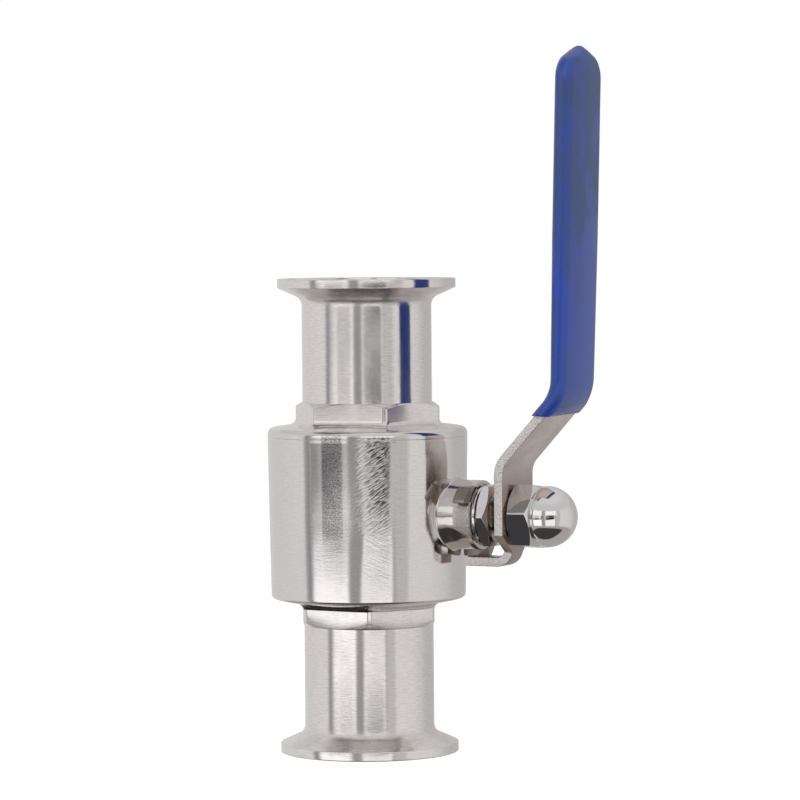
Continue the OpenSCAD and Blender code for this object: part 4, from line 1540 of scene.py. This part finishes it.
@dataclass
class StemAndNuts:
    """Stem with its thread, the flat stem nut and the dome nut.

    Args:
        finishes: Finishes of all pieces.
        nut_flats: Distance across the flats of both nuts.
        nut_edge: How much the nuts' corners are rubbed down.
        chamfer: Width of the chamfer at a nut's flats.
        slope: Slope of that chamfer, in degrees.
        bore: Radius of the nuts' bore.
        lead: Width and depth of the chamfer at the bore's mouth.
        bevel: Width of the bevel on the nuts' edges.
        nut_x: Place of the stem nut's lower face.
        nut_h: Height of the stem nut.
        nut_turn: Angle of one of its corners, in degrees.
        dome_x: Place of the dome nut's lower face.
        dome_hex: Height of its hexagon.
        dome_len: Its whole length.
        dome_r: Radius of its dome.
        dome_step: How much narrower than the dome its neck is.
        dome_bead: Width of the bead between neck and dome, and the heights where it starts and ends.
        dome_depth: Depth of its bore.
        dome_turn: Angle of one of its corners, in degrees.
        shaft_r: Radius of the stem.
        tang_r: Radius of the tang.
        tang_half: Half the tang's thickness.
        tang_x: Place of the tang's end.
        tang_edge: Width of the chamfer on it.
        shoulder_r: Radius of the stem's inner shoulder.
        shoulder_x: Places of its two faces.
        shoulder_edge: Width of the chamfer on it.
        thread_x: Places where the thread starts and ends.
        thread_depth: Depth of the thread.
        pitch: Pitch of the thread.
        flat_x: Place where the stem's two flats start.
        flat_half: Half the distance across them.
        end_x: Place of the stem's outer end.
        end_r: Radii of the stem past the thread and at its end.
        around: Points in a ring.
    """

    finishes: Finishes
    nut_flats: float = 17.0
    nut_edge: float = 0.03
    chamfer: float = 0.8
    slope: float = 30.0
    bore: float = 5.05
    lead: tuple[float, float] = (0.35, 0.3)
    bevel: float = 0.2
    nut_x: float = 37.45
    nut_h: float = 4.0
    nut_turn: float = 180.0
    dome_x: float = 46.95
    dome_hex: float = 7.4
    dome_len: float = 17.5
    dome_r: float = 8.55
    dome_step: float = 0.6
    dome_bead: tuple[float, float, float] = (0.45, 0.15, 0.75)
    dome_depth: float = 11.5
    dome_turn: float = 172.4
    shaft_r: float = 5.0
    tang_r: float = 6.4
    tang_half: float = 3.9
    tang_x: float = 18.0
    tang_edge: float = 0.25
    shoulder_r: float = 6.5
    shoulder_x: tuple[float, float] = (23.4, 25.8)
    shoulder_edge: float = 0.2
    thread_x: tuple[float, float] = (36.6, 56.6)
    thread_depth: float = 0.62
    pitch: float = 1.25
    flat_x: float = 41.6
    flat_half: float = 3.8
    end_x: float = 56.95
    end_r: tuple[float, float] = (4.4, 4.0)
    around: int = 192

    def nut_rows(self, base: float, length: float, foot: float, top: float) -> list[tuple[object, object]]:
        """Rings over a nut's face, chamfers and flats.

        Args:
            base: Place of the lower face along the stem.
            length: Height of the hexagon.
            foot: Radius of the lower face.
            top: Radius of the upper face.

        Returns:
            Radius and place of each ring, each a number or an array over the angle.
        """
        r = hexagon_radius(self.nut_flats, self.around, self.nut_edge)
        tan = math.tan(math.radians(self.slope))
        end = base + length
        return [
            (self.bore + self.lead[0], base), (foot, base), (r, base + (r - foot) * tan),
            (r, end - (r - top) * tan), (top, end)]

    def stem_shell(self) -> Shell:
        """Skin of the stem: tang, shoulder, shaft and threaded end with two flats."""
        near, far = self.shoulder_x
        first, last = self.thread_x
        x = np.concatenate([
            [self.tang_x, self.tang_x + self.tang_edge, near, near],
            [far - self.shoulder_edge, far, far, first],
            np.arange(first + 0.1, last - 0.2, 0.11), [last, self.end_x]])
        a = np.radians(np.arange(self.around) * 360.0 / self.around)
        r = np.full((len(x), self.around), self.shaft_r)
        r[:3] = np.minimum(self.tang_r, self.tang_half / np.maximum(np.abs(np.sin(a)), 1e-6))
        r[0] -= self.tang_edge
        r[3:6] = self.shoulder_r
        r[5] -= self.shoulder_edge
        turn = (x[:, None] / self.pitch + a / (2 * math.pi)) % 1.0
        threaded = (x > first + 0.05) & (x < last - 0.1)
        r[threaded] -= self.thread_depth * np.abs(2 * turn[threaded] - 1)
        r[-2:] = np.reshape(self.end_r, (2, 1))
        on_flat = x > self.flat_x
        r[on_flat] = np.minimum(r[on_flat], self.flat_half / np.maximum(np.abs(np.cos(a)), 1e-6))
        profile = np.stack([r, np.broadcast_to(x[:, None], r.shape)], -1)
        return skin(carry_round(profile, Axis.STEM, self.around))

    def build(self) -> None:
        """Builds the stem and both nuts."""
        make_piece(
            "stem_spindle", [self.stem_shell()], [self.finishes.of(THREAD_STEEL)], "stem_set", "stem",
            sharp=28.0)
        foot = self.nut_flats / 2 - self.chamfer
        wide, deep = self.lead
        end = self.nut_x + self.nut_h
        rows = [(self.bore, self.nut_x + deep), *self.nut_rows(self.nut_x, self.nut_h, foot, foot)]
        rows += [(self.bore + wide, end), (self.bore, end - deep)]
        self.make_nut("gland_nut", "stem_nut", rows, self.nut_turn, loop=True)
        neck = self.dome_r - self.dome_step
        inside = self.dome_x + self.dome_depth
        rows = [(0.05, inside), (self.bore, inside), (self.bore, self.dome_x + deep)]
        rows += self.nut_rows(self.dome_x, self.dome_hex, foot, neck)
        top = self.dome_x + self.dome_hex
        bead, start, stop = self.dome_bead
        rows += [(neck, top + start), (neck + bead, top + stop)]
        centre = self.dome_x + self.dome_len - self.dome_r
        rows += [(r, centre + x) for r, x in arc((0.0, 0.0), self.dome_r, 0, 89.7, 30)]
        self.make_nut("dome_cap", "dome_nut", rows, self.dome_turn, loop=False)

    def make_nut(
        self, name: str, node: str, rows: list[tuple[object, object]], turn: float, loop: bool,
    ) -> None:
        """Makes a nut of its rings.

        Args:
            name: Name of the piece.
            node: CAD node that it stands for.
            rows: Radius and place of each ring.
            turn: Angle of one corner, in degrees.
            loop: Whether the last ring joins the first.
        """
        rings = spun(carry_round(stacked(rows, self.around), Axis.STEM, self.around), Axis.STEM, turn)
        make_piece(
            name, [skin(rings, loop=loop)], [self.finishes.of(NUT_STEEL)], "stem_set", node,
            bevel=self.bevel)


@dataclass
class Inside:
    """CAD nodes whose shape stays, with their finishes."""

    finishes: Finishes
    seals: tuple[str, ...] = (
        "body_gasket", "seat_lower", "seat_upper", "thrust_washer", "packing_base",
        "packing_ring_lower", "packing_ring_upper", "packing_header")

    def build(self) -> None:
        """Assigns the materials."""
        for name in self.seals:
            self.dress(name, SEAL_PTFE)
        self.dress("ball", BALL_STEEL)

    def dress(self, name: str, finish: Steel | Ptfe) -> None:
        """Gives a CAD node one finish."""
        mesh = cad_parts[name].data
        mesh.materials.clear()
        mesh.materials.append(self.finishes.of(finish))
        LOG.info("%s: CAD node with %s", name, finish.name)


# Brightness over the angle from the camera's direction, in degrees and positive to its right:
# the sides behind the object, the panels below and above the camera's height, and the card's
# darker middles for the drum and for the upper tube.
SIDE_LEFT: Stops = ((-180.0, 0.66), (-130.0, 0.68), (-79.5, 0.74), (-77.0, 0.42), (-73.5, 0.3), (-70.5, 0.3))
SIDE_RIGHT: Stops = (
    (37.0, 0.55), (46.0, 0.55), (50.0, 0.74), (82.0, 0.72), (104.0, 0.64), (120.0, 0.53), (150.0, 0.5),
    (180.0, 0.55))
LOW_ROUND: Stops = (
    *SIDE_LEFT, (-68.0, 0.7), (-65.0, 1.2), (-24.5, 1.2), (-21.5, 0.35), (-10.5, 0.35), (-7.5, 1.03),
    (28.8, 1.03), (30.0, 0.34), (31.6, 0.34), (33.2, 0.54), *SIDE_RIGHT)
HIGH_ROUND: Stops = (
    *SIDE_LEFT, (-68.0, 0.7), (-65.0, 1.05), (-24.5, 1.05), (-21.5, 0.38), (-10.5, 0.38), (-7.5, 1.05),
    (29.0, 1.05), *SIDE_RIGHT)
MIDDLES: Stops = (
    (-68.0, 0.28), (-60.0, 0.3), (-54.0, 0.44), (-52.2, 0.17), (-30.5, 0.17), (-28.5, 0.36),
    (-24.5, 0.56), (-21.5, 0.34), (-10.5, 0.32), (-8.5, 0.52), (-5.0, 0.5), (-3.5, 0.2), (6.0, 0.05),
    (11.0, 0.01), (24.5, 0.01), (26.5, 0.56), (34.0, 0.56))
TUBE_MIDDLES: Stops = (
    (-68.0, 0.5), (-60.0, 0.85), (-54.0, 0.92), (-52.2, 0.6), (-30.5, 0.6), (-28.5, 0.92),
    (-24.5, 0.95), (-21.5, 0.28), (-10.5, 0.28), (-8.5, 0.6), (-5.0, 0.6), (-3.5, 0.32), (6.0, 0.2),
    (11.0, 0.1), (24.5, 0.1), (26.5, 0.6), (29.0, 0.44), (34.0, 0.44))
WHITE = (1.0, 1.0, 1.0)


@dataclass
class Studio:
    """Floor, surroundings, card, lamp and camera.

    Args:
        azimuth: Direction of the camera round the pipe, in degrees.
        pitch: Angle at which it looks down.
        roll: Angle at which it leans.
        distance: Distance to the plane of the frame's origin.
        focal: Focal length in pixels.
        frame_px: Side of the picture in pixels.
        target_px: Pixel on which the frame's origin falls.
        floor_r: Radius of the floor.
        floor_z: Heights of its upper and lower side.
        floor_glow: Brightness that only the camera sees on it.
        card_r: Radius of the card.
        card_turn: Angles between which it stands.
        card_points: Points along its edge.
        card_z: Its lowest and highest place.
        card_foot: Height from which it covers fully.
        card_swap: Heights between which the drum's ramp gives way to the tube's.
        walls: Elevations between which a colour sets in, and that colour.
        lamp_place: Place of the lamp.
        lamp_aim: Place that it faces.
        lamp_size: Its two sides.
        lamp_power: Its power in watts.
    """

    azimuth: float = 27.0
    pitch: float = 2.463
    roll: float = -0.448
    distance: float = 1111.27
    focal: float = 3905.9
    frame_px: float = 800.0
    target_px: tuple[float, float] = (370.086, 750.084)
    floor_r: float = 1500.0
    floor_z: tuple[float, float] = (-0.06, -0.5)
    floor_glow: float = 0.68
    card_r: float = 1000.0
    card_turn: tuple[float, float] = (-68.0, 34.0)
    card_points: int = 103
    card_z: tuple[float, float] = (-56.0, 200.0)
    card_foot: float = -32.0
    card_swap: tuple[float, float] = (40.0, 54.0)
    walls: tuple[tuple[float, float, Colour], ...] = (
        (23.0, 28.0, (0.62, 0.62, 0.625)), (40.0, 60.0, (0.7, 0.7, 0.705)), (-26.0, -31.0, (0.42, 0.41, 0.4)))
    lamp_place: Point = (600.0, -950.0, 1000.0)
    lamp_aim: Point = (0.0, 0.0, 80.0)
    lamp_size: tuple[float, float] = (1200.0, 1000.0)
    lamp_power: float = 14.0

    def camera(self) -> None:
        """Places the camera.

        The way forward has the azimuth and pitch, the right and up vectors are rolled about it,
        and the camera stands back so that the frame's origin falls on the target pixel.
        """
        a, p, r = (math.radians(v) for v in (self.azimuth, self.pitch, self.roll))
        forward = Vector((-math.sin(a) * math.cos(p), math.cos(a) * math.cos(p), -math.sin(p)))
        level = Vector((math.cos(a), math.sin(a), 0.0))
        above = level.cross(forward)
        right = level * math.cos(r) + above * math.sin(r)
        up = above * math.cos(r) - level * math.sin(r)
        half = self.frame_px / 2
        u = (self.target_px[0] - half) / self.focal
        v = -(self.target_px[1] - half) / self.focal
        place = -self.distance * MM * (forward + u * right + v * up)
        lens = bpy.data.cameras.new("camera")
        lens.sensor_width = 36.0
        lens.lens = self.focal / self.frame_px * lens.sensor_width
        lens.clip_end = 20.0
        camera = bpy.data.objects.new("camera", lens)
        turn = Matrix((right, up, -forward)).transposed()
        camera.matrix_world = Matrix.Translation(place) @ turn.to_4x4()
        bpy.context.scene.collection.objects.link(camera)
        bpy.context.scene.camera = camera

    def floor(self) -> None:
        """Lays a round pale floor whose brightness fades into the background."""
        top, under = self.floor_z
        profile = np.array([(0.5, top), (self.floor_r, top), (self.floor_r, under), (0.5, under)])
        mesh = make_mesh("floor", [skin(carry_round(profile, Axis.PIPE, 96))], 30.0)
        material, sheet = fresh("pale floor")
        matt = sheet.fed("ShaderNodeBsdfDiffuse", rgba((0.5, 0.5, 0.5)))
        seen = sheet.node("ShaderNodeLightPath").outputs["Is Camera Ray"]
        glow = sheet.fed("ShaderNodeEmission", rgba(WHITE), sheet.times(seen, self.floor_glow))
        sheet.finish(sheet.fed("ShaderNodeAddShader", matt.outputs[0], glow.outputs[0]).outputs[0])
        mesh.materials.append(material)
        made = bpy.data.objects.new("floor", mesh)
        bpy.context.scene.collection.objects.link(made)
        made.visible_glossy = False

    def angle_round(self, sheet: NodeSheet, way: object) -> Socket:
        """Angle in degrees from the direction of the camera, round the pipe, positive to its right."""
        a = math.radians(self.azimuth)
        front = sheet.vector("DOT_PRODUCT", way, (math.sin(a), -math.cos(a), 0.0)).outputs["Value"]
        side = sheet.vector("DOT_PRODUCT", way, (math.cos(a), math.sin(a), 0.0)).outputs["Value"]
        return sheet.times(sheet.math("ARCTAN2", side, front), DEGREES)

    def card(self) -> None:
        """Hangs the darker middles of the panels where only the metal sees them.

        The card is a strip of a cylinder round the pipe, at the panels' distance, so that its
        edges stand at another height for each part of the object. Its brightness is read off
        a ramp over the angle, one for the drum and one for the upper tube above it. Its foot
        thins out, so that the middles fade down the drum.
        """
        count = self.card_points
        start, stop = (self.azimuth - 90.0 + turn for turn in self.card_turn)
        line = arc((0.0, 0.0), self.card_r, start, stop, count)
        points = np.concatenate([np.insert(line, 2, z, axis=1) for z in self.card_z]) * MM
        j = np.arange(count - 1)
        quads = np.stack([j, j + 1, j + 1 + count, j + count], -1)
        mesh = bpy.data.meshes.new("card")
        mesh.from_pydata(points.tolist(), [], quads.tolist())
        made = bpy.data.objects.new("card", mesh)
        bpy.context.scene.collection.objects.link(made)
        material, sheet = fresh("panel middles")
        place = sheet.place()
        angle = self.angle_round(sheet, place)
        level = sheet.times(sheet.split(place)[2], 1 / MM)
        drum, tube = (sheet.ramp(angle, stops) for stops in (MIDDLES, TUBE_MIDDLES))
        glow = sheet.fed("ShaderNodeEmission", sheet.mix(sheet.step(level, *self.card_swap), drum, tube))
        clear = sheet.node("ShaderNodeBsdfTransparent")
        share = sheet.step(level, self.card_z[0], self.card_foot)
        sheet.finish(sheet.fed("ShaderNodeMixShader", share, clear.outputs[0], glow.outputs[0]).outputs[0])
        mesh.materials.append(material)
        made.visible_camera = made.visible_diffuse = made.visible_shadow = False
        made.visible_transmission = False

    def surroundings(self) -> None:
        """Builds the studio round the object: two tall soft panels, grey walls and a dark table edge.

        The panels stand to the left and right of the camera. The angle is counted from the
        direction of the camera, positive to its right. A ramp over the angle gives the
        brightness below and above the height of the camera, and the elevation blends the two.
        """
        world = bpy.data.worlds.new("studio")
        bpy.context.scene.world = world
        world.use_nodes = True
        sheet = NodeSheet(world.node_tree)
        way = sheet.node("ShaderNodeTexCoord").outputs["Generated"]
        angle = self.angle_round(sheet, way)
        rise = sheet.times(sheet.math("ARCSINE", sheet.split(way)[2]), DEGREES)
        low, high = (sheet.ramp(angle, stops) for stops in (LOW_ROUND, HIGH_ROUND))
        lit = sheet.mix(sheet.step(rise, -3.0, 3.0), low, high)
        for start, stop, colour in self.walls:
            lit = sheet.mix(sheet.step(rise, start, stop), lit, rgba(colour))
        table = sheet.times(sheet.band(angle, -100, 75, 6.0), sheet.step(rise, -36.0, -41.0))
        lit = sheet.mix(table, lit, rgba((0.05, 0.049, 0.051)))
        ceiling = sheet.times(sheet.band(angle, -150, -62, 6.0), sheet.band(rise, 55.0, 82.0, 3.0))
        lit = sheet.mix(ceiling, lit, rgba((0.2, 0.19, 0.18)))
        cool = sheet.mix(sheet.band(angle, -84.0, -60.0, 4.0), rgba(WHITE), rgba((0.985, 0.985, 1.03)))
        lit = sheet.vector("MULTIPLY", lit, cool).outputs["Vector"]
        seen = sheet.node("ShaderNodeLightPath").outputs["Is Camera Ray"]
        light = sheet.fed("ShaderNodeBackground", sheet.mix(seen, lit, rgba(WHITE)))
        sheet.finish(light.outputs[0], "ShaderNodeOutputWorld")

    def lamp(self) -> None:
        """Hangs one large soft lamp above the front, which polished metal doesn't show."""
        light = bpy.data.lights.new("soft lamp", "AREA")
        light.shape = "RECTANGLE"
        light.size, light.size_y = (side * MM for side in self.lamp_size)
        light.energy = self.lamp_power
        lamp = bpy.data.objects.new("soft lamp", light)
        place, aim = (Vector(point) * MM for point in (self.lamp_place, self.lamp_aim))
        turn = (aim - place).to_track_quat("-Z", "Y").to_matrix()
        lamp.matrix_world = Matrix.Translation(place) @ turn.to_4x4()
        lamp.visible_glossy = False
        bpy.context.scene.collection.objects.link(lamp)

    def build(self) -> None:
        """Builds the studio."""
        bpy.context.scene.view_settings.view_transform = "Standard"
        self.camera()
        self.floor()
        self.surroundings()
        self.card()
        self.lamp()


def main() -> None:
    """Builds the studio and every piece."""
    logging.basicConfig(level=logging.INFO)
    finishes = Finishes()
    Studio().build()
    Inside(finishes).build()
    Housing(finishes).build()
    StemAndNuts(finishes).build()
    lever = Lever(finishes)
    lever.build()
    lever.build_sleeve()


if __name__ == "__main__":
    main()
